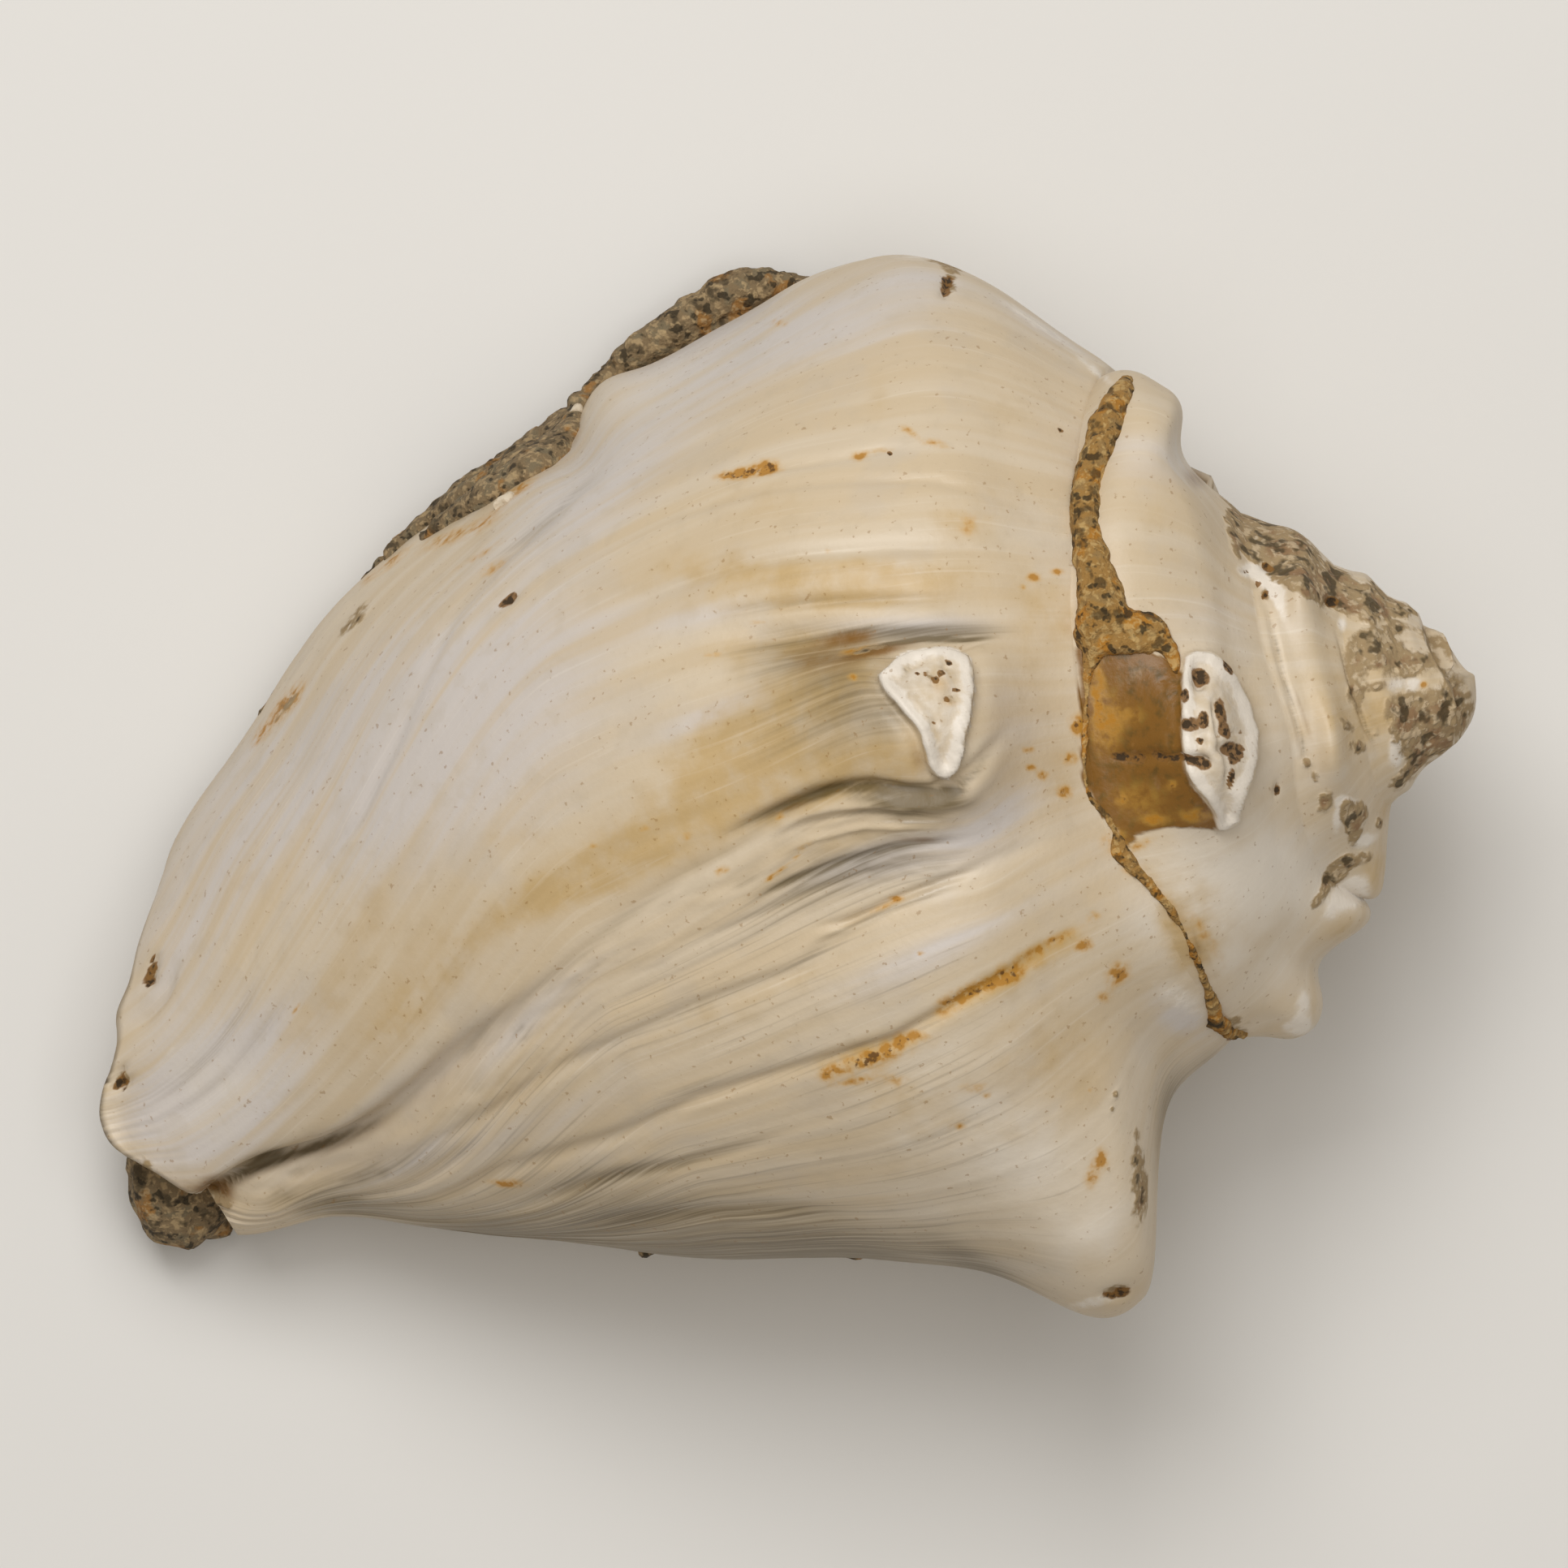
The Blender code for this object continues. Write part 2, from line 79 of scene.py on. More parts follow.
class Channel(Enum):
    """A painted quantity of the shell's surface: the attribute that holds it, and its place there."""

    LILAC = ("tints", 0)
    OCHRE = ("tints", 1)
    # SHADE is painted shade of creases, folds, valleys and the lower edge, with some old dirt in the valleys
    SHADE = ("tints", 2)
    # WHITE is worn white, with a few painted highlights
    WHITE = ("wear", 0)
    RUST = ("wear", 1)
    SOIL = ("wear", 2)
    BROWN = ("stains", 0)
    PIT = ("stains", 1)
    # PALE is partly painted light on faces turned from the lamps
    PALE = ("stains", 2)
    LINES = ("lines", 0)


ATTRIBUTES = tuple(dict.fromkeys(channel.value[0] for channel in Channel))


def smoothstep(start: float, end: float, value: Array) -> Array:
    """Smooth rise from 0 at the start to 1 at the end, or a fall where the end is the lower one."""
    t = np.clip((np.asarray(value, float) - start) / (end - start), 0, 1)
    return t * t * (3 - 2 * t)


def rises(spans: tuple[Span, ...], value: Array) -> Array:
    """Product of the smooth rises and falls over the spans."""
    return math.prod(smoothstep(*span, value) for span in spans)


def smooth_values(knots: Array, values: Array, at: Array) -> Array:
    """Cubic curve through the values at the knots, level past both ends.

    Args:
        knots: rising places.
        values: value at each knot, or an array of values for each knot.
        at: places to read it at.

    Returns:
        The value at each place.
    """
    knots = np.asarray(knots, float)
    at = np.clip(np.asarray(at, float), knots[0], knots[-1])
    values = np.asarray(values, float)
    values = values.reshape(values.shape + (1,) * (1 + at.ndim - values.ndim)) * np.ones(at.shape)
    rise = np.diff(values, axis=0) / np.diff(knots).reshape((-1,) + (1,) * at.ndim)
    slopes = np.concatenate([rise[:1], (rise[1:] + rise[:-1]) / 2, rise[-1:]])
    low = np.clip(np.searchsorted(knots, at, side="right") - 1, 0, len(knots) - 2)
    width = knots[low + 1] - knots[low]
    t = (at - knots[low]) / width

    def pick(array: Array, index: Array) -> Array:
        """Row of the array for each place."""
        return np.take_along_axis(array, index[None], axis=0)[0]

    return (
        (2 * t**3 - 3 * t**2 + 1) * pick(values, low)
        + (t**3 - 2 * t**2 + t) * width * pick(slopes, low)
        + (3 * t**2 - 2 * t**3) * pick(values, low + 1)
        + (t**3 - t**2) * width * pick(slopes, low + 1)
    )


def table_value(table: dict[float, float], at: Array) -> Array:
    """Smooth value of a table of place and value."""
    return smooth_values(list(table), list(table.values()), at)


def lattice_noise(points: Array, seed: int) -> Array:
    """Smooth noise between -1 and 1 on a lattice of unit cells.

    Args:
        points: places, one row each, in two or three directions.
        seed: picks one of many noises.

    Returns:
        One number for each place.
    """
    shape = points.shape[:-1]
    points = points.reshape(-1, points.shape[-1])
    cell = np.floor(points).astype(np.int64)
    t = points - cell
    t = t * t * (3 - 2 * t)
    total = np.zeros(len(points))
    for corner in range(2 ** points.shape[1]):
        code = np.full(len(points), seed * NOISE_SEED_STEP, np.int64)
        weight = np.ones(len(points))
        for axis in range(points.shape[1]):
            step = corner >> axis & 1
            code = code + (cell[:, axis] + step) * NOISE_PRIMES[axis]
            weight = weight * (t[:, axis] if step else 1 - t[:, axis])
        code = code & WORD
        for shift, factor in NOISE_MIXERS:
            code = (code ^ (code >> shift)) * factor & WORD
        total += weight * ((code & HALF_WORD) / (HALF_WORD / 2) - 1)
    return total.reshape(shape)


def layered_noise(points: Array, seed: int, layers: int = 3) -> Array:
    """Noise with finer layers of half the strength added, between about -1 and 1. Places are in cells."""
    octaves = (lattice_noise(points * 2**k, seed + k) * 0.5 ** (k + 1) for k in range(layers))
    return sum(octaves) * NOISE_GAIN


@dataclass(frozen=True)
class Noise:
    """Layered noise of a size in millimetres."""

    size: float
    seed: int
    layers: int = 3

    def at(self, place: Array) -> Array:
        """Noise at places in the frame, in metres."""
        return layered_noise(place / MM / self.size, self.seed, self.layers)


@dataclass(frozen=True)
class PhotoPlan:
    """Ties the photograph's pixels to the part's plan view."""

    apex_pixel: Pixel = (1802.0, 830.0)
    axis_tilt: float = math.radians(13)
    mm_per_pixel: float = 0.065
    apex_x: float = 57.35
    shift_y: float = -0.3

    def to_photo(self, place: Array) -> Array:
        """Photograph's millimetres, rightwards and downwards, of places in metres in the frame.

        Args:
            place: places in the frame, one row each.

        Returns:
            Two numbers for each place: its pixel times the size of a pixel.
        """
        station = self.apex_x - place[:, 0] / MM
        across = place[:, 1] / MM - self.shift_y
        cosine, sine = math.cos(self.axis_tilt), math.sin(self.axis_tilt)
        right = self.apex_pixel[0] * self.mm_per_pixel - station * cosine - across * sine
        down = self.apex_pixel[1] * self.mm_per_pixel + station * sine - across * cosine
        return np.stack([right, down], axis=-1)

    def to_frame(self, pixel: Pixel) -> tuple[float, float]:
        """Place in the frame, in metres, of a pixel of the photograph.

        Args:
            pixel: rightwards and downwards in the photograph.

        Returns:
            X and Y in the frame.
        """
        right = (pixel[0] - self.apex_pixel[0]) * self.mm_per_pixel
        down = (pixel[1] - self.apex_pixel[1]) * self.mm_per_pixel
        cosine, sine = math.cos(self.axis_tilt), math.sin(self.axis_tilt)
        station = -(right * cosine - down * sine)
        across = -(right * sine + down * cosine)
        return (self.apex_x - station) * MM, (across + self.shift_y) * MM


PLAN = PhotoPlan()


@dataclass(frozen=True)
class Patch:
    """A soft oval on the back, such as a stain: pixel of its middle, half length and width in millimetres."""

    right: float
    down: float
    length: float
    width: float
    heading: float
    amount: float

    def weight(self, photo: Array) -> Array:
        """Strength of the patch at places given in the photograph's millimetres.

        Args:
            photo: places in the photograph, in millimetres.

        Returns:
            The strength at each place.
        """
        right = photo[:, 0] - self.right * PLAN.mm_per_pixel
        down = photo[:, 1] - self.down * PLAN.mm_per_pixel
        turn = math.radians(self.heading)
        along = right * math.cos(turn) - down * math.sin(turn)
        across = right * math.sin(turn) + down * math.cos(turn)
        return self.amount * np.exp(-((along / self.length) ** 2) - (across / self.width) ** 2)


@dataclass(frozen=True)
class Nudge:
    """A local shift of the shell in the plan view: where and how far in pixels, its reach in millimetres."""

    right: float
    down: float
    move_right: float
    move_down: float
    reach: float

    def shift(self, place: Array) -> Array:
        """Shift of places in the frame, in metres.

        Args:
            place: places in the frame.

        Returns:
            The shift of each place.
        """
        photo = PLAN.to_photo(place)
        middle = np.array([self.right, self.down]) * PLAN.mm_per_pixel
        weight = np.exp(-(np.hypot(*(photo - middle).T) / self.reach) ** 2)
        start = np.array(PLAN.to_frame((self.right, self.down)))
        end = np.array(PLAN.to_frame((self.right + self.move_right, self.down + self.move_down)))
        return weight[:, None] * np.append(end - start, 0)


@dataclass(frozen=True)
class Trace:
    """A line or an outline on the back, through pixels of the photograph."""

    pixels: tuple[Pixel, ...]

    def nearest(self, photo: Array, closed: bool) -> tuple[Array, Array, Array]:
        """Distance to the line, the side that a place is on, and how far along the line its nearest point is.

        Args:
            photo: places in the photograph's millimetres.
            closed: whether the last point is joined to the first.

        Returns:
            The distance in millimetres, a number above 0 on the line's right side as it is drawn, and the
            share of the line's length.
        """
        points = np.array(self.pixels, float) * PLAN.mm_per_pixel
        ends = np.roll(points, -1, axis=0) if closed else points[1:]
        starts = points if closed else points[:-1]
        lengths = np.linalg.norm(ends - starts, axis=1)
        before = np.concatenate([[0], np.cumsum(lengths)])
        best = np.full(len(photo), np.inf)
        side = np.ones(len(photo))
        along = np.zeros(len(photo))
        for start, end, length, passed in zip(starts, ends, lengths, before):
            ahead = (end - start) / max(length, TINY)
            offset = photo - start
            reach = np.clip(offset @ ahead, 0, length)
            apart = np.hypot(*(offset - reach[:, None] * ahead).T)
            nearer = apart < best
            best = np.where(nearer, apart, best)
            side = np.where(nearer, ahead[0] * offset[:, 1] - ahead[1] * offset[:, 0], side)
            along = np.where(nearer, (passed + reach) / before[-1], along)
        return best, side, along

    def depth_inside(self, photo: Array) -> Array:
        """Distance to the outline in millimetres, above 0 inside it.

        Args:
            photo: places in the photograph's millimetres.

        Returns:
            The signed distance of each place.
        """
        points = np.array(self.pixels, float) * PLAN.mm_per_pixel
        inside = np.zeros(len(photo), bool)
        for (right, down), (next_right, next_down) in zip(points, np.roll(points, -1, axis=0)):
            spans = (down > photo[:, 1]) != (next_down > photo[:, 1])
            slope = (next_right - right) / (next_down - down + TINY)
            inside ^= spans & (photo[:, 0] < right + (photo[:, 1] - down) * slope)
        distance = self.nearest(photo, closed=True)[0]
        return np.where(inside, distance, -distance)


@dataclass(frozen=True)
class Crease(Trace):
    """A groove along a line, with a ridge on its right side as it is drawn, and painted shade in the groove.
    Sizes in millimetres.
    """

    depth: float
    width: float
    shade: float = 0.0
    ridge: float = 0.0
    ridge_offset: float = 1.2
    ridge_spread: float = 1.3
    fade: float = 0.3

    def weights(self, photo: Array) -> tuple[Array, Array]:
        """Relief of the crease and the painted shade in it.

        Args:
            photo: places in the photograph's millimetres.

        Returns:
            Height in millimetres and the painted shade, both fading out at the line's ends.
        """
        distance, side, along = self.nearest(photo, closed=False)
        signed = np.where(side > 0, distance, -distance)
        shown = rises(((0, self.fade), (1, 1 - self.fade)), along)
        groove = np.exp(-((signed / self.width) ** 2))
        ridge = np.exp(-(((signed - self.ridge_offset) / (self.ridge_spread * self.width)) ** 2))
        return shown * (self.ridge * ridge - self.depth * groove), shown * self.shade * groove


@dataclass(frozen=True)
class Pleats(Trace):
    """Fine folds beside a line and along it, like those of gathered cloth, with painted shade between them.
    Sizes in millimetres.
    """

    reach: float
    spacing: float
    height: float
    drawn_out: float = 16.0
    shade: float = 0.35
    fade_in: float = 0.1
    fade_out: float = 0.15
    edge: Span = (-0.2, 0.4)
    seed: int = 61
    layers: int = 2

    def weights(self, photo: Array) -> tuple[Array, Array]:
        """Relief of the folds and the painted shade between them.

        Args:
            photo: places in the photograph's millimetres.

        Returns:
            Height in millimetres and the painted shade, on the left side of the line as it is drawn.
        """
        distance, side, along = self.nearest(photo, closed=False)
        signed = np.where(side > 0, -distance, distance)
        shown = rises(((0, self.fade_in), (1, 1 - self.fade_out)), along)
        beside = shown * smoothstep(*self.edge, signed) * np.exp(-((signed / self.reach) ** 2))
        points = np.stack([signed / self.spacing, along * self.drawn_out], axis=-1)
        folds = layered_noise(points, self.seed, self.layers)
        return beside * self.height * folds, beside * self.shade * np.clip(-folds, 0, 1)


# Sizes of the grown form, repeated from the part's source: millimetres, with growth in degrees
WHORL_RADII: dict[float, Row] = {
    -250: (20, 26, 28.4, 28.4, 27.2, 25.5, 23.5, 21, 18, 14.5, 10, 7.5, 6, 4.5),
    -202: (19, 24, 26.5, 28, 27.8, 26.6, 24.8, 22, 19, 15.6, 12.4, 10.2, 8.2, 5),
    -180: (19, 23.5, 25.5, 27, 27.4, 26.8, 24.9, 22.2, 19, 15.6, 12.4, 10.6, 8.4, 5),
    -90: (17, 21, 24, 27.6, 31, 34.5, 36.3, 33.4, 30, 24.9, 19.3, 14.4, 12.4, 9),
    0: (18, 20, 21.5, 23.5, 27, 30.5, 32, 31, 28.5, 25, 20, 15, 10.5, 6),
    45: (20, 23.5, 25.5, 30, 33, 34.5, 35, 33.5, 31, 27.5, 22.5, 18, 13.5, 8),
    85: (23, 28.5, 32.6, 39.8, 42.2, 41.4, 38.7, 36, 33, 29.5, 25, 20.5, 16, 10),
}
SUTURE_STATION: dict[float, float] = {
    -250: 15, -202: 16, -180: 17, -135: 20, -90: 23.6, -45: 28, 0: 30.6, 20: 30, 45: 27.2, 70: 23.5, 90: 21,
    110: 20,
}
FRONT_STATION: dict[float, float] = {
    -250: 103, -180: 104, -90: 105.8, -60: 107.5, -45: 110, -25: 113.6, 0: 114.6, 25: 113.8, 45: 112,
    65: 111.4, 85: 108, 110: 104,
}
LAPPED_FLANK: dict[float, float] = {
    -595: 21, -540: 21.2, -495: 21.8, -450: 23.2, -405: 23.3, -360: 22.5, -315: 26.6, -270: 28.4, -250: 28.4,
}
# Degrees that a growth line swings by on its way down, for its growth at the suture
LINE_DRIFT: dict[float, float] = {
    -90: 0, -60: -3, -40: -9, -27: -11, -13: -9.5, 4: -12, 9: -5, 14: 0, 22: 3.5, 32: 6, 45: 5, 60: 2,
    80: 0, 110: 0,
}


@dataclass(frozen=True)
class ShellForm:
    """The grown form of the shell, in millimetres."""

    stations: Row = (14, 20, 24, 31, 36, 42, 50, 60, 70, 80, 90, 98, 105, 113)
    middle_y: Row = (0, 0, 0, 0, 0, 0, 0, -0.7, -1.8, -3.3, -5.5, -7.5, -9.5, -10.5)
    middle_z: Row = (30, 29, 28.5, 27.5, 27, 26, 24.5, 22.5, 20, 17, 13.5, 11, 9.5, 8.5)
    body_start: float = -250
    lip_growth: float = 110
    lip_edge_y: Row = (14, 20.5, 28, 36, 40.5, 42.4, 40.8, 37.9, 34, 29.2, 22.5, 15.5, 7.8, -6)
    lip_edge_z: Row = (24, 18, 11, 6.5, 5, 4.6, 4.5, 4.4, 4.3, 4.3, 4.5, 5.2, 7.5, 8)
    lip_thickness: float = 4.2
    lip_inner_drop: float = 1.0
    lip_rounding: float = 0.8
    crowded_from: float = -90
    crowding_start: float = 0.5
    crowding_reach: float = 0.45
    crowding: float = 1.35
    crowding_power: float = 1.6
    # Growth, station, height, spread, reach towards the apex, reach towards the canal
    body_knobs: Rows = (
        (-84, 36.2, 12.0, 22, 3.6, 9.0), (10, 41.5, 6.0, 13, 4.8, 9.0), (-176, 33.0, 2.0, 20, 5.0, 8.0),
    )
    knob_steepness: float = 2.2
    # Station, y, length, width, heading, height
    back_relief: Rows = (
        (46.0, 15.0, 10.0, 3.4, 7, -1.8), (50.0, -6.0, 13.0, 4.2, -14, -1.6), (60.0, 6.0, 14.0, 6.0, -8, 0.8),
    )
    groove_stations: Row = (68, 77, 85.7, 88.8, 95.5, 104.4, 108)
    groove_y: Row = (-7.5, -9.5, -12.2, -14.2, -17.3, -18.5, -20)
    groove_depth: Row = (0, 0.6, 1.3, 1.6, 2.1, 2.4, 2.0)
    groove_width: float = 1.6
    back_steepness: float = 3
    apex_z: float = 31.5
    spire_tilt: float = math.radians(6)
    whorl_slant: float = 0.11
    cone_tip_radius: float = 2.5
    last_shoulder: float = 18.0
    whorl_ratio: float = 0.58
    flank_swell: float = 1.14
    mid_flank_swell: float = 1.06
    spire_start: float = -1675
    spire_end: float = -235
    end_sink: float = 0.15
    end_sink_turn: float = 30
    end_sink_share: float = 0.36
    hidden_flank: float = 10.5
    # Growth, height as a share of the whorl's radius, spread, reach up and down the whorl as shares of it
    spire_knobs: Rows = (
        (-290, 0.30, 24, 0.17, 0.24), (-363, 0.32, 16, 0.17, 0.24), (-453, 0.40, 15, 0.45, 0.24),
        (-542, 0.22, 20, 0.17, 0.24), (-640, 0.08, 20, 0.17, 0.24), (-682, 0.12, 10, 0.17, 0.24),
        (-735, 0.12, 16, 0.17, 0.24), (-815, 0.34, 20, 0.25, 0.6), (-905, 0.15, 18, 0.17, 0.24),
    )

    def bell(self, offset: Array, back: float, forward: float) -> Array:
        """1 at the middle, falling off over the reach back (towards the apex) and the reach forward."""
        reach = np.where(offset < 0, back, forward)
        return np.exp(-((np.abs(offset) / reach) ** self.knob_steepness))

    def crowded_growth(self, growth: Array, share: Array) -> Array:
        """Where a growth line lies, a share of its way down: they crowd on the right side of the canal.

        Args:
            growth: growth of the lines.
            share: share of the way from the suture to the front edge.

        Returns:
            The growth at which each point lies.
        """
        crowded = np.clip((share - self.crowding_start) / self.crowding_reach, 0, 1) ** self.crowding_power
        span = self.lip_growth - self.crowded_from
        part = np.clip((growth - self.crowded_from) / span, 0, 1)
        moved = self.crowded_from + span * part ** (1 + self.crowding * crowded)
        return np.where(growth > self.crowded_from, moved, growth)

    def relief_height(self, station: Array, y: Array) -> Array:
        """Height of the folds, valleys and the groove of the canal at a place in the plan view.

        Args:
            station: distance from the apex.
            y: distance to the side.

        Returns:
            The height in millimetres.
        """
        height = np.zeros_like(station)
        for at_station, at_y, length, width, heading, amount in self.back_relief:
            turn = math.radians(heading)
            along = (station - at_station) * math.cos(turn) + (y - at_y) * math.sin(turn)
            across = (y - at_y) * math.cos(turn) - (station - at_station) * math.sin(turn)
            height = height + amount * np.exp(-((along / length) ** 2) - (across / width) ** 2)
        groove_y = smooth_values(self.groove_stations, self.groove_y, station)
        depth = smooth_values(self.groove_stations, self.groove_depth, station)
        return height - depth * np.exp(-(((y - groove_y) / self.groove_width) ** 2))

    def body_point(self, growth: Array, station: Array) -> Array:
        """Point of the body whorl's outer face.

        Args:
            growth: growth of the points.
            station: their distance from the apex.

        Returns:
            Plan points in millimetres.
        """
        middle_y = smooth_values(self.stations, self.middle_y, station)
        middle_z = smooth_values(self.stations, self.middle_z, station)
        edge_y = smooth_values(self.stations, self.lip_edge_y, station) - middle_y
        edge_z = smooth_values(self.stations, self.lip_edge_z, station) - middle_z
        edge_turn = np.degrees(np.arctan2(edge_y, edge_z))
        radii = [smooth_values(self.stations, row, station) for row in WHORL_RADII.values()]
        radii.append(np.hypot(edge_y, edge_z))
        radius = smooth_values([*WHORL_RADII, self.lip_growth], radii, growth)
        for knob_growth, knob_station, height, spread, back, forward in self.body_knobs:
            around = np.exp(-(((growth - knob_growth) / spread) ** 2))
            radius = radius + height * around * self.bell(station - knob_station, back, forward)
        turn = np.radians(np.where(growth > 0, growth * edge_turn / self.lip_growth, growth))
        upward = np.clip(np.cos(turn) * self.back_steepness, 0, 1)
        radius = radius + upward * self.relief_height(station, middle_y + radius * np.sin(turn))
        z = middle_z + radius * np.cos(turn)
        return np.stack([station, middle_y + radius * np.sin(turn), z], axis=-1)

    def shoulder_station(self, growth: Array) -> Array:
        """Distance of a whorl's shoulder from the apex, along the axis of the cone."""
        return self.last_shoulder * self.whorl_ratio ** (-(growth + 360) / 360)

    def spire_point(self, growth: Array, share: Array) -> Array:
        """Point of the spire: share 0 is a whorl's upper suture, 0.5 its shoulder, 1 its lower suture.

        Args:
            growth: growth of the points.
            share: their share of the way down the whorl.

        Returns:
            Plan points in millimetres.
        """
        shoulder = self.shoulder_station(growth)
        above = self.shoulder_station(growth - 360)
        lapped = growth > self.spire_end - 360
        below = np.where(lapped, shoulder + 2 * self.hidden_flank, self.shoulder_station(growth + 360))
        shoulder_radius = self.cone_tip_radius + shoulder
        suture_radius = (self.cone_tip_radius + above) * self.flank_swell
        flank = np.where(lapped, table_value(LAPPED_FLANK, growth), shoulder_radius * self.flank_swell)
        middle = np.where(lapped, flank, shoulder_radius * self.mid_flank_swell)
        suture = (above + shoulder) / 2
        next_suture = (shoulder + below) / 2
        profile = {
            0: (suture, suture_radius),
            0.3: ((suture + shoulder) / 2, (suture_radius + shoulder_radius) / 2),
            0.5: (shoulder, shoulder_radius),
            0.75: ((shoulder + next_suture) / 2, middle),
            1.0: (next_suture, flank),
        }
        columns = zip(*profile.values())
        axial, radius = (smooth_values(list(profile), list(values), share) for values in columns)
        for knob_growth, height, spread, back, forward in self.spire_knobs:
            around = np.exp(-(((growth - knob_growth) / spread) ** 2))
            radius = radius + height * shoulder_radius * around * self.bell(share - 0.5, back, forward)
        ending = np.clip((growth - self.spire_end) / self.end_sink_turn + 1, 0, 1)
        radius = radius * (1 - self.end_sink * ending * np.clip(share / self.end_sink_share, 0, 1))
        turn = np.radians(growth)
        lift = radius * np.cos(turn)
        y = radius * np.sin(turn)
        station = axial * math.cos(self.spire_tilt) + lift * math.sin(self.spire_tilt) - self.whorl_slant * y
        z = self.apex_z - axial * math.sin(self.spire_tilt) + lift * math.cos(self.spire_tilt)
        return np.stack([station, y, z], axis=-1)

    def place(self, points: Array) -> Array:
        """Plan view in millimetres to the frame in metres.

        Args:
            points: plan points.

        Returns:
            Places in the frame.
        """
        points = np.array(points, float)
        points[..., 0] = PLAN.apex_x - points[..., 0]
        points[..., 1] += PLAN.shift_y
        return points * MM


FORM = ShellForm()

# The worn top of the knob on the back, the worn crescent of the knob on the spire, that knob's brown flank,
# and the crust on the spire
BACK_FACET = Trace((
    (1081, 835), (1092, 824), (1104, 811), (1118, 803), (1140, 799), (1160, 798), (1178, 802), (1190, 810),
    (1197, 826), (1197, 850), (1194, 875), (1188, 904), (1183, 930), (1178, 948), (1165, 961), (1148, 955),
    (1141, 938), (1136, 918), (1128, 900), (1115, 883), (1098, 863), (1087, 850),
))
SPIRE_CRESCENT = Trace((
    (1455, 809), (1468, 804), (1484, 804), (1500, 813), (1514, 830), (1528, 850), (1538, 875), (1545, 905),
    (1544, 935), (1537, 960), (1526, 985), (1522, 1012), (1508, 1020), (1495, 1023), (1492, 1004),
    (1482, 986), (1466, 972), (1455, 948), (1450, 915), (1450, 870), (1452, 835),
))
SPIRE_FLANK = Trace((
    (1326, 800), (1345, 803), (1395, 803), (1428, 812), (1452, 832), (1453, 890), (1458, 945), (1474, 980),
    (1496, 1010), (1494, 1022), (1440, 1019), (1400, 1026), (1384, 1044), (1374, 1026), (1352, 1003),
    (1330, 965), (1326, 880),
))
SPIRE_CRUST = Trace((
    (1504, 632), (1522, 618), (1560, 628), (1600, 655), (1628, 690), (1700, 728), (1740, 752), (1735, 766),
    (1700, 764), (1664, 760), (1638, 752), (1600, 738), (1575, 722), (1545, 700), (1515, 680),
))
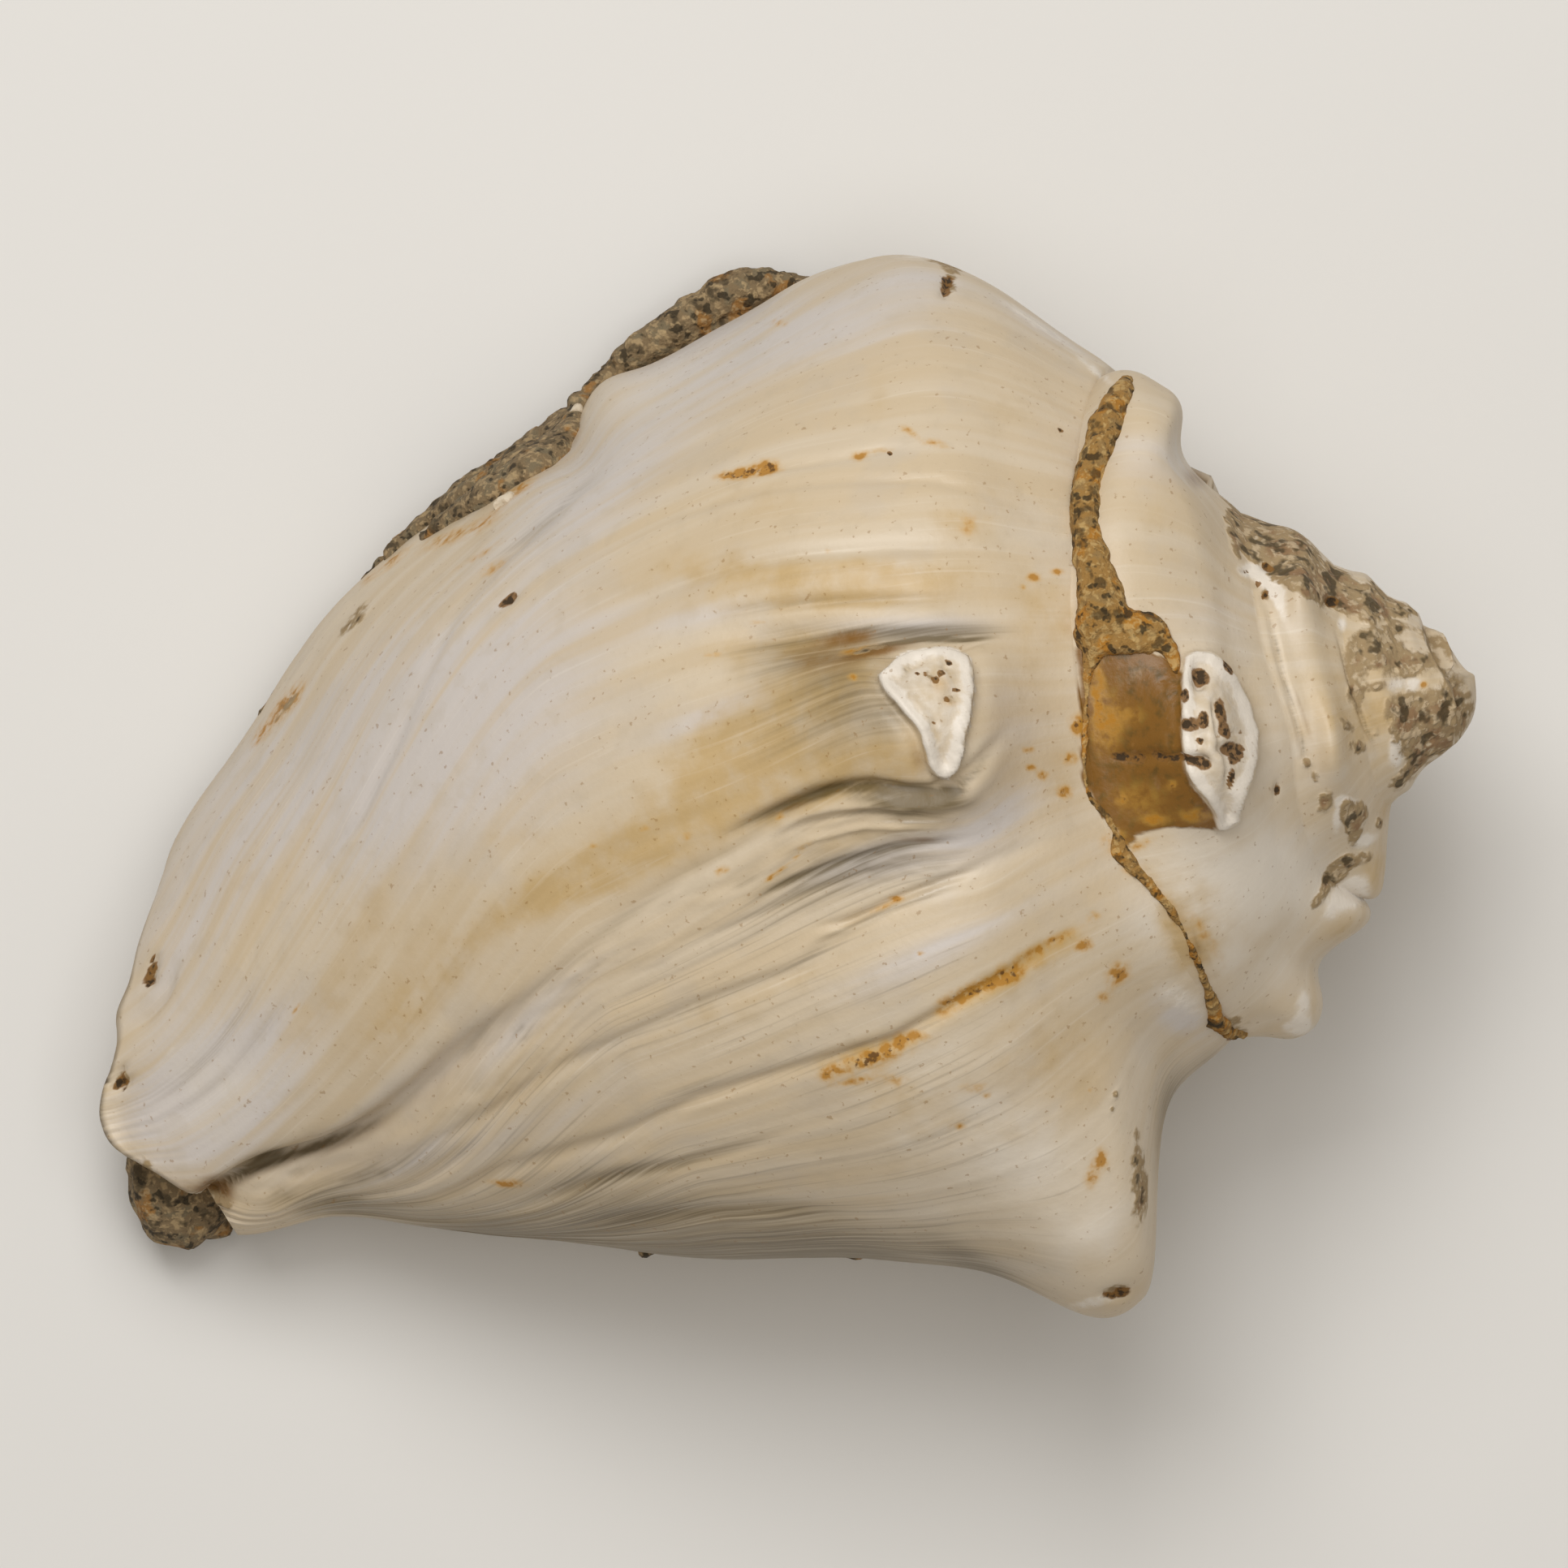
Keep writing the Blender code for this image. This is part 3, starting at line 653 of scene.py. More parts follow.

# Creases: pixels of the line, depth and width in millimetres, painted shade
CREASES = (
    # The valley above the knob, darkened by painted shade, and the sharp line at the foot of the worn top
    Crease(
        ((860, 806), (940, 792), (1035, 788), (1100, 784), (1150, 780), (1220, 780), (1290, 790)),
        0.7, 1.5, 0.25,
    ),
    Crease((
        (1020, 818), (1045, 811), (1066, 806), (1094, 796), (1130, 790), (1188, 791), (1225, 786),
        (1250, 782),
    ), 0.35, 0.24, 1),
    Crease(((960, 784), (1060, 781), (1150, 777), (1220, 776), (1290, 780)), 0.1, 0.7, 0.4),
    # The fold under the knob, which runs on to the crease of the canal; their painted shade stands for the
    # shadow under the fold's edge and under the lobe's edge
    Crease((
        (1330, 930), (1225, 920), (1200, 945), (1175, 970), (1140, 980), (1090, 970), (1050, 967),
        (1000, 980), (960, 1000), (900, 1045), (835, 1080), (765, 1133), (688, 1198), (618, 1256),
        (553, 1309), (500, 1356), (429, 1403), (335, 1433), (271, 1456),
    ), 0.3, 0.7, 0.3),
    Crease((
        (1250, 885), (1220, 920), (1199, 951), (1178, 972), (1146, 979), (1115, 976), (1073, 968),
        (1030, 972), (994, 983), (962, 995), (925, 1012), (890, 1032), (850, 1055),
    ), 0.8, 0.45, 0.8, ridge=0.2, ridge_offset=-1.1),
    Crease((
        (500, 1356), (450, 1388), (400, 1410), (350, 1426), (310, 1440), (270, 1460), (240, 1484),
        (205, 1505),
    ), 1.1, 0.42, 1, ridge=0.25, ridge_offset=-1),
    # Folds below it
    Crease((
        (1360, 1020), (1275, 1040), (1225, 1055), (1150, 1095), (1050, 1135), (982, 1192), (865, 1233),
        (776, 1274), (688, 1315), (618, 1362), (512, 1421), (394, 1451), (312, 1474),
    ), 0.4, 0.6, 0.2),
    Crease(
        ((1190, 1030), (1167, 1036), (1130, 1040), (1094, 1044), (1040, 1060), (980, 1082), (900, 1115)),
        0.3, 0.36, 0.5,
    ),
    Crease(
        ((1190, 1050), (1120, 1062), (1050, 1078), (980, 1105), (900, 1142), (820, 1178)), 0.14, 0.3, 0.15,
    ),
    Crease(((1175, 1004), (1120, 1003), (1060, 1000), (1000, 1012), (940, 1038)), 0.22, 0.22, 0.35),
    Crease(((1180, 994), (1120, 993), (1060, 990), (1000, 1001), (940, 1027)), -0.3, 0.22),
    Crease(((1172, 1018), (1120, 1017), (1065, 1017), (1005, 1032), (950, 1056)), -0.25, 0.22),
    Crease(((1215, 1066), (1157, 1084), (1104, 1104), (1046, 1132), (986, 1142)), 0.3, 0.3, 0.25),
    Crease(((1209, 1077), (1157, 1093), (1104, 1114), (1046, 1143), (990, 1153)), -0.35, 0.3),
    # The crease with the yellow stain
    Crease((
        (1375, 1100), (1340, 1130), (1250, 1190), (1100, 1280), (1018, 1303), (865, 1350), (765, 1398),
        (688, 1421), (612, 1445), (559, 1468), (476, 1489), (365, 1498),
    ), 0.5, 0.6, 0.2),
    Crease(((865, 595), (950, 580), (1050, 565), (1085, 557), (1160, 555)), 0.3, 0.35, 0.15),
    Crease(
        ((1325, 660), (1270, 635), (1225, 615), (1150, 595), (1040, 595), (940, 605), (820, 640), (700, 700)),
        0.22, 0.5, 0.1,
    ),
    Crease(
        ((1335, 700), (1190, 680), (1100, 677), (1000, 685), (900, 700), (780, 745), (660, 810)),
        0.3, 0.6, 0.15,
    ),
    Crease(((1260, 742), (1180, 738), (1090, 740), (1000, 745), (900, 755), (820, 775)), 0.3, 0.5, 0.3),
    Crease((
        (880, 527), (800, 547), (740, 573), (687, 613), (560, 760), (441, 1015), (394, 1051), (353, 1098),
        (318, 1156), (294, 1215), (265, 1256), (218, 1298), (171, 1345),
    ), 0.25, 0.5, 0.15),
    Crease(((770, 560), (735, 585), (705, 612), (680, 640), (640, 672), (590, 700)), 0.3, 0.4, 0.3),
    Crease(((1000, 1385), (923, 1409), (835, 1433), (765, 1445), (600, 1497)), 0.4, 0.5, 0.3),
    Crease(((1100, 1498), (953, 1486), (835, 1492), (718, 1503), (659, 1512)), 0.4, 0.7, 0.3),
    # Folds on the lobe beside the canal
    Crease(((330, 1180), (300, 1240), (262, 1300), (215, 1345), (175, 1375)), 0.35, 0.5, 0.3),
    Crease(((380, 1190), (335, 1255), (285, 1325), (225, 1375), (180, 1400)), 0.3, 0.5, 0.2),
    Crease(((215, 1175), (200, 1230), (172, 1262), (150, 1270)), 0.35, 0.5, 0.2),
    # Cracks in the worn top of the knob, and the ridge inside it
    Crease(((1181, 904), (1179, 912), (1176, 926), (1173, 938)), 0.3, 0.12, 1),
    Crease(((1141, 922), (1144, 932), (1149, 943)), 0.25, 0.12, 0.9),
    Crease(((1104, 838), (1116, 856), (1130, 872), (1142, 892), (1150, 912)), -0.3, 0.35),
    Crease(((1112, 846), (1112, 830), (1122, 817), (1140, 811), (1160, 812)), 0.2, 0.16, 0.45),
    # Suture between the two whorls of the spire before the last
    Crease((
        (1546, 716), (1560, 760), (1567, 791), (1575, 826), (1585, 862), (1594, 895), (1600, 915),
        (1606, 941), (1617, 965), (1630, 1000),
    ), 0.35, 0.2, 0.55),
    Crease(((1638, 765), (1650, 800), (1660, 840), (1680, 900), (1705, 945)), 0.3, 0.2, 0.5),
)
# The gathered folds under the knob and beside the crease of the canal, with painted shade between them
PLEATS = (
    Pleats((
        (1200, 970), (1146, 982), (1115, 977), (1073, 969), (1030, 974), (962, 994), (900, 1045), (835, 1080),
        (765, 1133), (688, 1198),
    ), 6.0, 0.75, 0.2),
    Pleats((
        (765, 1133), (688, 1198), (618, 1256), (553, 1309), (500, 1356), (429, 1403), (335, 1433),
        (271, 1456),
    ), 4.0, 0.8, 0.26, 20.0, 0.6),
)
MARKS = (*CREASES, *PLEATS)

# Where the real shell's edge departs from the frame's smooth form: pixel, shift in pixels, reach in
# millimetres
NUDGES = (
    (1790, 860, 40, 4, 4.0), (1765, 950, -6, 6, 3.0), (1485, 560, -26, 0, 3.2), (1425, 465, -4, 14, 2.6),
    (1600, 625, 0, 22, 2.4), (1555, 1292, 5, -22, 2.6), (1606, 1300, 0, -10, 2.5), (1643, 1128, 42, 0, 2.4),
    (1636, 1190, -16, -2, 2.2), (152, 1215, 12, 0, 2.6), (220, 1500, 0, 8, 3.0), (748, 476, -8, -14, 3.0),
    (690, 548, 12, 14, 3.0), (420, 760, -11, -9, 9.0), (215, 1030, -9, -5, 7.0), (1583, 900, 14, 0, 4.5),
)

# Where the body whorl alone is moved, to bring its edge to the last suture
EDGE_NUDGES = (
    (1395, 1130, 58, -12, 5.0), (1430, 1195, 22, -4, 3.5), (1485, 1252, 10, 0, 3.0), (1318, 720, 8, 0, 4.0),
)

# Pits: pixel, half length and half width in millimetres, heading in degrees, depth in millimetres
PITS = (
    (1138, 833, 0.26, 0.2, 0, 0.3), (1149, 840, 0.36, 0.3, 40, 0.4), (1156, 831, 0.26, 0.2, 0, 0.3),
    (1166, 818, 0.34, 0.22, -40, 0.4), (1174, 852, 0.26, 0.18, 0, 0.3), (1164, 863, 0.3, 0.22, 0, 0.3),
    (1149, 893, 0.22, 0.16, 0, 0.3), (1128, 832, 0.18, 0.14, 0, 0.3), (1471, 836, 0.8, 0.72, 0, 0.9),
    (1453, 858, 0.6, 0.32, 90, 0.6), (1460, 894, 0.65, 0.55, 0, 0.8), (1477, 888, 0.6, 0.42, 90, 0.7),
    (1473, 914, 0.3, 0.24, 0, 0.4), (1498, 878, 1.2, 0.46, -75, 0.8), (1504, 900, 0.8, 0.46, -75, 0.8),
    (1522, 902, 0.26, 0.26, 0, 0.3), (1508, 922, 0.85, 0.5, 20, 0.7), (1517, 932, 0.9, 0.42, 70, 0.6),
    (1511, 958, 0.9, 0.24, 75, 0.4), (1475, 941, 0.75, 0.5, -20, 0.8), (1462, 937, 0.4, 0.36, 0, 0.6),
    (1428, 842, 0.2, 0.18, 0, 0.3), (1462, 973, 0.4, 0.12, -45, 0.3), (1507, 824, 0.7, 0.2, -50, 0.3),
    (1168, 348, 0.5, 0.4, 0, 0.7), (1164, 360, 0.5, 0.35, 70, 0.6), (187, 1183, 0.3, 0.24, 0, 0.5),
    (185, 1196, 0.5, 0.36, 60, 0.7), (182, 1210, 0.5, 0.45, 0, 0.6), (145, 1322, 0.6, 0.3, 70, 0.7),
    (148, 1336, 0.6, 0.6, 0, 0.8), (1378, 1590, 0.9, 0.5, 15, 0.8), (1366, 1593, 0.6, 0.4, 0, 0.6),
    (630, 740, 0.7, 0.35, 40, 0.35), (1378, 932, 0.75, 0.36, 0, 0.3), (1398, 934, 0.6, 0.42, 0, 0.5),
    (1416, 929, 0.5, 0.4, -45, 0.4), (1427, 934, 0.6, 0.4, 0, 0.4), (1446, 934, 0.9, 0.32, 0, 0.4),
    (1546, 722, 0.3, 0.2, 60, 0.3), (1554, 735, 0.4, 0.2, 60, 0.3), (1530, 706, 0.3, 0.14, 0, 0.3),
    (1568, 972, 0.6, 0.24, 80, 0.25), (1258, 611, 0.16, 0.16, 0, 0.2), (1095, 563, 0.2, 0.16, 0, 0.2),
    (1558, 700, 0.55, 0.3, -30, 0.5), (1636, 743, 0.6, 0.4, 0, 0.6), (1303, 534, 0.22, 0.14, 0, 0.2),
    (1289, 515, 0.16, 0.14, 0, 0.2), (1520, 1276, 0.7, 0.35, 0, 0.6),
)

# Sediment in the last suture: the broad band at the top, a lump of it towards the apex with its foot, and
# the thin line below. Each point is a pixel and a radius in millimetres.
SUTURE_BAND = (
    (1386, 472, 0.7), (1378, 490, 1), (1370, 508, 1.25), (1361, 530, 1.4), (1353, 555, 1.5),
    (1344, 580, 1.45), (1337, 605, 1.4), (1333, 630, 1.4), (1333, 655, 1.4), (1338, 680, 1.45),
    (1343, 702, 1.55), (1349, 722, 1.8), (1353, 745, 2.1), (1353, 770, 2.2), (1350, 788, 1.7),
    (1342, 806, 0.9), (1339, 820, 0.6),
)
SUTURE_LUMP = (
    (1350, 752, 1.7), (1366, 764, 1.5), (1386, 776, 1.5), (1404, 778, 1.5), (1418, 783, 1.3),
    (1430, 797, 0.8), (1440, 812, 0.6), (1444, 828, 0.4),
)
SUTURE_LUMP_FOOT = ((1345, 785, 1.7), (1368, 789, 1.5), (1390, 790, 1.3), (1408, 792, 1.1))
SUTURE_LINE = (
    (1338, 822, 0.45), (1335, 850, 0.35), (1334, 880, 0.32), (1332, 905, 0.28), (1332, 940, 0.25),
    (1333, 965, 0.25), (1341, 985, 0.26), (1352, 997, 0.28), (1364, 1012, 0.32), (1373, 1030, 0.45),
    (1376, 1048, 0.75), (1388, 1060, 0.72), (1402, 1077, 0.55), (1420, 1098, 0.45), (1437, 1120, 0.36),
    (1453, 1144, 0.32), (1465, 1168, 0.3), (1475, 1192, 0.32), (1483, 1214, 0.42), (1490, 1236, 0.7),
    (1495, 1256, 0.8), (1510, 1268, 0.7), (1530, 1272, 0.45),
)

# Lumps of sediment behind the edge of the lip, in the canal and at the lower edge: pixel, radius, and height
# of the middle in millimetres
LIP_LUMPS = (
    (966, 345, 1.1, 5.5), (940, 346, 1.6, 5.5), (915, 351, 1.8, 5.5), (885, 363, 1.9, 5.5),
    (858, 381, 1.8, 5.5), (834, 398, 1.8, 5.5), (810, 414, 1.6, 5.5), (788, 428, 1.5, 5.5),
    (770, 440, 1.2, 5.5), (752, 455, 0.8, 5.5), (738, 468, 0.8, 5.5), (724, 481, 1, 6), (712, 495, 1.2, 7),
    (703, 518, 1.4, 8), (690, 541, 2, 8), (668, 552, 2.1, 7.5), (645, 571, 2.3, 7.5), (620, 588, 2.3, 7),
    (595, 602, 2.1, 6.5), (570, 618, 2, 6), (545, 636, 1.8, 5.5), (520, 654, 1.6, 5.5), (498, 669, 1.3, 5),
    (470, 695, 0.9, 5.5), (450, 716, 0.8, 5.5), (431, 742, 0.9, 5.5), (418, 762, 1, 5.5),
    (404, 785, 0.8, 5.5), (352, 850, 0.9, 5.3), (342, 866, 1.2, 5.3), (330, 884, 1.1, 5.3),
    (200, 1485, 2.6, 4), (235, 1505, 2.2, 3.5), (180, 1460, 1.6, 4), (262, 1512, 1.4, 3),
    (796, 1541, 0.9, 21), (806, 1537, 0.8, 21), (1040, 1536, 1, 23), (1056, 1538, 1.1, 23),
)

# Sediment that lies on the shell where its edge is broken back: pixel and radius in millimetres
BROKEN_EDGE = (
    (708, 515, 1.1), (700, 542, 1.5), (686, 562, 1.6), (664, 576, 1.6), (642, 590, 1.6), (618, 604, 1.5),
    (596, 617, 1.3), (572, 631, 1.2), (548, 645, 1), (522, 660, 0.8),
)
BROKEN_RIM = (
    (700, 512, 0.9), (688, 535, 1.2), (666, 553, 1.4), (645, 569, 1.5), (620, 584, 1.5), (596, 599, 1.4),
    (571, 614, 1.3), (546, 630, 1.2), (520, 648, 1.1), (498, 664, 0.9), (478, 682, 0.7),
)
BROKEN_MIDDLE = (
    (702, 524, 1.4), (690, 550, 1.7), (672, 566, 1.8), (652, 580, 1.8), (630, 593, 1.8), (608, 607, 1.7),
    (584, 621, 1.5), (559, 637, 1.3), (534, 653, 1.1),
)

# Bits of broken shell that stick in the sediment: pixel, length, width and height of the middle in
# millimetres, and heading in degrees
SHELL_BITS = (
    (707, 505, 1.5, 1, 9.6, 60), (622, 618, 2.4, 1.5, 19.7, 30), (180, 1483, 1.4, 0.9, 6.4, -40),
    (236, 1492, 1.2, 0.8, 5.6, 20),
)

# Colours painted on the back: pixel, half length and half width in millimetres, heading in degrees, amount
PATCHES: dict[Channel, Rows] = {
    Channel.LILAC: (
        (560, 950, 15, 8, 32, 0.9), (470, 850, 10, 5, 50, 0.6), (760, 560, 12, 4, 30, 0.7),
        (650, 800, 11, 4, 35, 0.5), (600, 1285, 13, 2.6, 35, 0.7), (930, 430, 11, 3.5, 15, 0.4),
        (1080, 1060, 8, 2, 12, 0.7), (1150, 1170, 10, 2, 25, 0.7), (1220, 1000, 5, 3, 40, 0.8),
        (1240, 870, 3.5, 3.5, 0, 0.5), (880, 880, 5, 1.2, 25, 0.7), (860, 760, 6, 1.5, 8, 0.5),
        (1410, 570, 2.6, 7, 80, 0.8), (1490, 760, 6, 3, 0, 0.5), (1570, 1060, 4, 5, 90, 0.5),
        (1450, 1250, 1.6, 3, 60, 1), (250, 1350, 7, 5, 30, 0.7), (1120, 340, 5, 2, 0, 0.5),
        (1300, 410, 5, 1.5, -30, 0.6), (700, 1370, 12, 2, 22, 0.4), (1120, 775, 8, 1.2, 0, 0.8),
        (300, 1000, 5, 9, -30, 0.6), (850, 420, 8, 3, 22, 0.6), (700, 640, 8, 3, 35, 0.6),
        (210, 1180, 4, 8, -20, 0.6), (330, 1300, 8, 5, 40, 0.5), (240, 1380, 6, 4, 30, 0.7),
        (480, 1430, 8, 2, 15, 0.6), (1060, 400, 10, 4, 0, 0.5),
    ),
    # Pale patches: partly the shell's paler tone, partly painted light on faces turned from the lamps, such
    # as the lower knob at (1330, 1500) and the hollow at (1190, 1400)
    Channel.PALE: (
        (560, 990, 9, 7, 30, 0.2), (470, 870, 7, 5, 40, 0.15), (1110, 345, 9, 3.5, 5, 0.2),
        (250, 1350, 6, 7, 0, 0.4), (230, 1130, 5, 9, -20, 0.15), (380, 1300, 7, 4, 30, 0.25),
        (1190, 1400, 10, 6, 20, 0.6), (800, 480, 9, 3, 25, 0.4), (1330, 1500, 6, 5, -30, 0.6),
        (1150, 1290, 6, 3, 20, 0.3), (1420, 1180, 3, 6, 30, 0.35), (1580, 1080, 4, 5, 90, 0.6),
        (1560, 1200, 4, 4, 0, 0.4), (1520, 1050, 5, 5, 0, 0.45), (1580, 900, 3, 7, 0, 0.4),
        (1400, 1340, 3, 5, 0, 0.3), (1440, 560, 3, 7, 80, 0.4), (1510, 1120, 4, 6, 0, 0.35),
        (1500, 780, 5, 4, 0, 0.35), (640, 650, 7, 2, 40, 0.3), (860, 540, 8, 1.2, 20, 0.3),
        (1450, 1100, 4, 5, 30, 0.4),
    ),
    Channel.OCHRE: (
        (950, 800, 8, 1.6, 4, 0.7), (1040, 830, 3.5, 2.6, 0, 0.8), (1110, 935, 2.6, 2.4, -50, 0.8),
        (1050, 945, 5, 2, 5, 0.8), (960, 880, 7, 3.8, 18, 0.75), (880, 940, 7, 3, 20, 0.7),
        (780, 1055, 10, 2.6, 22, 0.8), (690, 1095, 7, 2, 24, 0.6), (640, 1032, 3.5, 1.2, 10, 0.5),
        (850, 1005, 7, 2.2, 22, 0.75), (990, 990, 5, 1.2, 18, 0.7), (540, 1200, 7, 3, 38, 0.5),
        (480, 1270, 5, 2, 45, 0.5), (460, 1120, 6, 4, 30, 0.4), (1100, 1345, 7, 2.4, 12, 0.5),
        (1180, 1385, 4, 1.6, 0, 0.35), (1080, 490, 1.3, 2.2, 0, 0.6), (940, 620, 5, 2.2, 0, 0.5),
        (610, 655, 6, 1.5, 35, 0.4), (1175, 650, 3, 1.6, 0, 0.6), (1060, 705, 11, 1.4, 0, 0.6),
        (1000, 745, 11, 1, 2, 0.6), (1260, 820, 5, 6, 0, 0.4), (1290, 1170, 5, 1.2, 28, 0.9),
        (1200, 1225, 5, 1, 30, 0.9), (1060, 1295, 5, 1, 15, 0.9), (1180, 1440, 9, 4, 0, 0.25),
        (1300, 1300, 6, 6, 0, 0.6), (1010, 720, 12, 1.8, 0, 0.6), (1440, 1390, 2, 6, 0, 0.6),
        (1470, 1150, 3, 4, 0, 0.5), (1448, 1145, 6, 1.5, -62, 0.7), (1690, 850, 7, 9, 0, 0.6),
        (1590, 900, 2.5, 6, 90, 0.3), (1470, 1090, 5, 2, -40, 0.4), (1420, 640, 3, 2, 0, 0.4),
        (1540, 640, 5, 3, -20, 0.6), (1560, 1170, 3, 3, 0, 0.4), (860, 690, 6, 2, 10, 0.4),
        (1240, 500, 6, 4, 0, 0.35), (1230, 620, 5, 3, 0, 0.4), (1700, 1075, 1.6, 2.8, 20, 0.8),
        (1652, 1145, 2.2, 1, 30, 0.7), (1707, 997, 1, 1.6, 0, 0.6), (1695, 880, 1.4, 1.2, 0, 0.6),
        (300, 1090, 6, 3, 60, 0.35), (400, 1240, 6, 2.5, 50, 0.4), (900, 1240, 14, 2, 24, 0.5),
        (1020, 1040, 6, 1.2, 14, 0.5), (1160, 838, 1.6, 1.4, 0, 0.6), (1150, 905, 0.8, 1, 0, 0.4),
        (1290, 760, 3, 2.5, 0, 0.5), (1300, 960, 1.5, 2.5, 0, 0.6), (640, 1330, 6, 1.4, 34, 0.4),
    ),
    # Painted shade: the dark lower edge where the light falls off, the valley above the knob and the creases
    # below it, the shadow under the lobe at (322, 1424) and the shaded side at (1440, 1390)
    Channel.SHADE: (
        (980, 815, 6, 2.4, 3, 0.4), (1000, 895, 8, 3.4, 10, 0.4), (1060, 850, 4, 3, 0, 0.3),
        (1130, 782, 6, 0.7, 0, 0.4), (1060, 1070, 8, 2.4, 12, 0.4), (600, 690, 10, 3, 35, 0.16),
        (950, 680, 16, 4, 5, 0.08), (900, 1240, 14, 3, 24, 0.14), (760, 1480, 10, 2, 6, 0.35),
        (960, 1120, 7, 2.2, 22, 0.15), (480, 1440, 11, 1.2, 15, 0.35), (880, 1552, 21, 3.6, 0, 0.85),
        (1090, 1560, 12, 3, -16, 0.3), (560, 1522, 9, 2.4, -5, 0.55), (420, 1486, 5, 1.2, 0, 0.45),
        (1220, 1570, 5, 1.2, -30, 0.5), (760, 1440, 8, 1, 10, 0.35), (1440, 1390, 1.5, 6, 0, 0.7),
        (1485, 1320, 3, 1.4, 50, 0.6), (322, 1424, 1.8, 0.4, 20, 0.8), (1120, 988, 4.4, 0.7, -2, 0.85),
        (1130, 980, 3.6, 1, -4, 0.6), (1100, 890, 1.6, 1.6, 0, 0.3), (1130, 1010, 3, 1, 0, 0.2),
        (1030, 968, 4, 0.5, 5, 0.25),
    ),
    Channel.RUST: (
        (922, 585, 1.9, 0.46, 8, 1), (945, 578, 0.9, 0.55, 8, 1), (900, 589, 0.8, 0.3, 0, 0.6),
        (1057, 566, 0.6, 0.35, 10, 0.8), (1080, 560, 1.2, 0.25, 10, 0.6), (1120, 536, 0.9, 0.35, -30, 0.5),
        (1150, 550, 1.3, 0.35, -10, 0.5), (1190, 650, 0.8, 0.9, 0, 0.5), (1271, 714, 0.6, 0.35, 0, 0.8),
        (1299, 707, 0.5, 0.3, 0, 0.6), (1256, 726, 0.3, 0.2, 0, 0.7), (1264, 924, 0.45, 0.3, 0, 0.7),
        (1266, 946, 0.4, 0.3, 0, 0.7), (1325, 890, 0.4, 0.7, 0, 0.8), (1314, 935, 0.6, 0.5, 0, 0.85),
        (1308, 976, 0.7, 0.5, 0, 0.85), (1281, 955, 0.45, 0.4, -40, 0.7), (1049, 836, 0.35, 0.3, 0, 0.8),
        (961, 1005, 0.4, 0.25, 0, 0.6), (992, 1041, 0.45, 0.22, 30, 0.7), (950, 1080, 0.7, 0.22, 40, 0.75),
        (968, 1066, 0.7, 0.16, 40, 0.6), (984, 1053, 0.5, 0.14, 40, 0.5), (890, 1072, 0.5, 0.35, 40, 0.8),
        (847, 1029, 0.3, 0.3, 0, 0.7), (794, 1020, 0.3, 0.25, 0, 0.7), (731, 1041, 0.3, 0.2, 0, 0.6),
        (1102, 1106, 0.5, 0.26, 0, 0.8), (1085, 1116, 1.2, 0.25, 22, 0.55), (1133, 1172, 0.25, 0.2, 0, 0.6),
        (1022, 1318, 0.8, 0.5, 15, 0.75), (1065, 1304, 1.5, 0.7, 15, 0.75), (1095, 1290, 0.9, 0.6, 15, 0.7),
        (1118, 1274, 1.2, 0.45, 10, 0.8), (1165, 1235, 1.2, 0.7, 35, 0.7), (1200, 1216, 1.8, 0.6, 25, 0.75),
        (1240, 1200, 1.2, 0.7, 25, 0.65), (1290, 1160, 2.5, 0.4, 28, 0.5), (1332, 1163, 0.6, 0.5, 0, 0.9),
        (1343, 1128, 0.5, 0.4, 0, 0.6), (1374, 1198, 1, 0.8, 40, 0.9), (1358, 1226, 0.6, 0.5, 0, 0.6),
        (1213, 1346, 0.3, 0.25, 0, 0.6), (1178, 1384, 0.6, 0.3, 0, 0.6), (1345, 1440, 0.6, 1.3, -20, 0.7),
        (1357, 1424, 0.5, 0.8, 20, 0.7), (625, 1457, 1.3, 0.35, -5, 0.8), (1340, 1340, 0.2, 0.2, 0, 0.6),
        (960, 398, 0.7, 0.25, -20, 0.6), (1055, 1328, 2.2, 0.4, 10, 0.45), (1104, 1329, 0.9, 0.5, 0, 0.5),
        (1200, 1337, 1.2, 0.5, 0, 0.45), (550, 662, 2.8, 0.6, 22, 0.5), (600, 640, 1.6, 0.5, 40, 0.45),
        (610, 700, 1.2, 0.5, 30, 0.5), (640, 600, 1.6, 0.5, 35, 0.6), (480, 690, 1.6, 0.4, 40, 0.6),
        (880, 808, 0.6, 0.2, 0, 0.6), (933, 769, 0.6, 0.2, 0, 0.5), (1020, 682, 0.25, 0.2, 0, 0.6),
        (352, 865, 2, 0.7, 50, 0.8), (318, 905, 1.2, 0.5, 55, 0.6), (365, 1243, 0.35, 0.2, 0, 0.7),
        (334, 1243, 0.25, 0.2, 0, 0.7), (1055, 804, 1.6, 0.3, 10, 0.6), (1322, 898, 0.5, 0.8, 40, 0.7),
        (1750, 844, 0.3, 0.3, 0, 0.8), (1155, 845, 1, 0.8, -40, 0.32), (1168, 866, 0.8, 0.4, 0, 0.36),
        (1390, 882, 1.5, 1, 0, 0.33), (1363, 902, 0.6, 1.6, 0, 0.4), (1348, 862, 0.45, 3.8, 0, 0.85),
        (1440, 968, 0.5, 0.4, 0, 0.6), (1418, 1010, 0.9, 0.45, 0, 0.6), (1400, 985, 2.6, 1.8, 0, 0.34),
        (1368, 880, 1, 3.4, 0, 0.3), (1468, 1005, 1.4, 0.6, 0, 0.6), (1378, 985, 0.7, 0.5, 0, 0.35),
        (1384, 1062, 0.5, 1.2, 20, 0.55), (1400, 1040, 1.3, 0.4, 25, 0.5), (1330, 700, 0.4, 1, 0, 0.5),
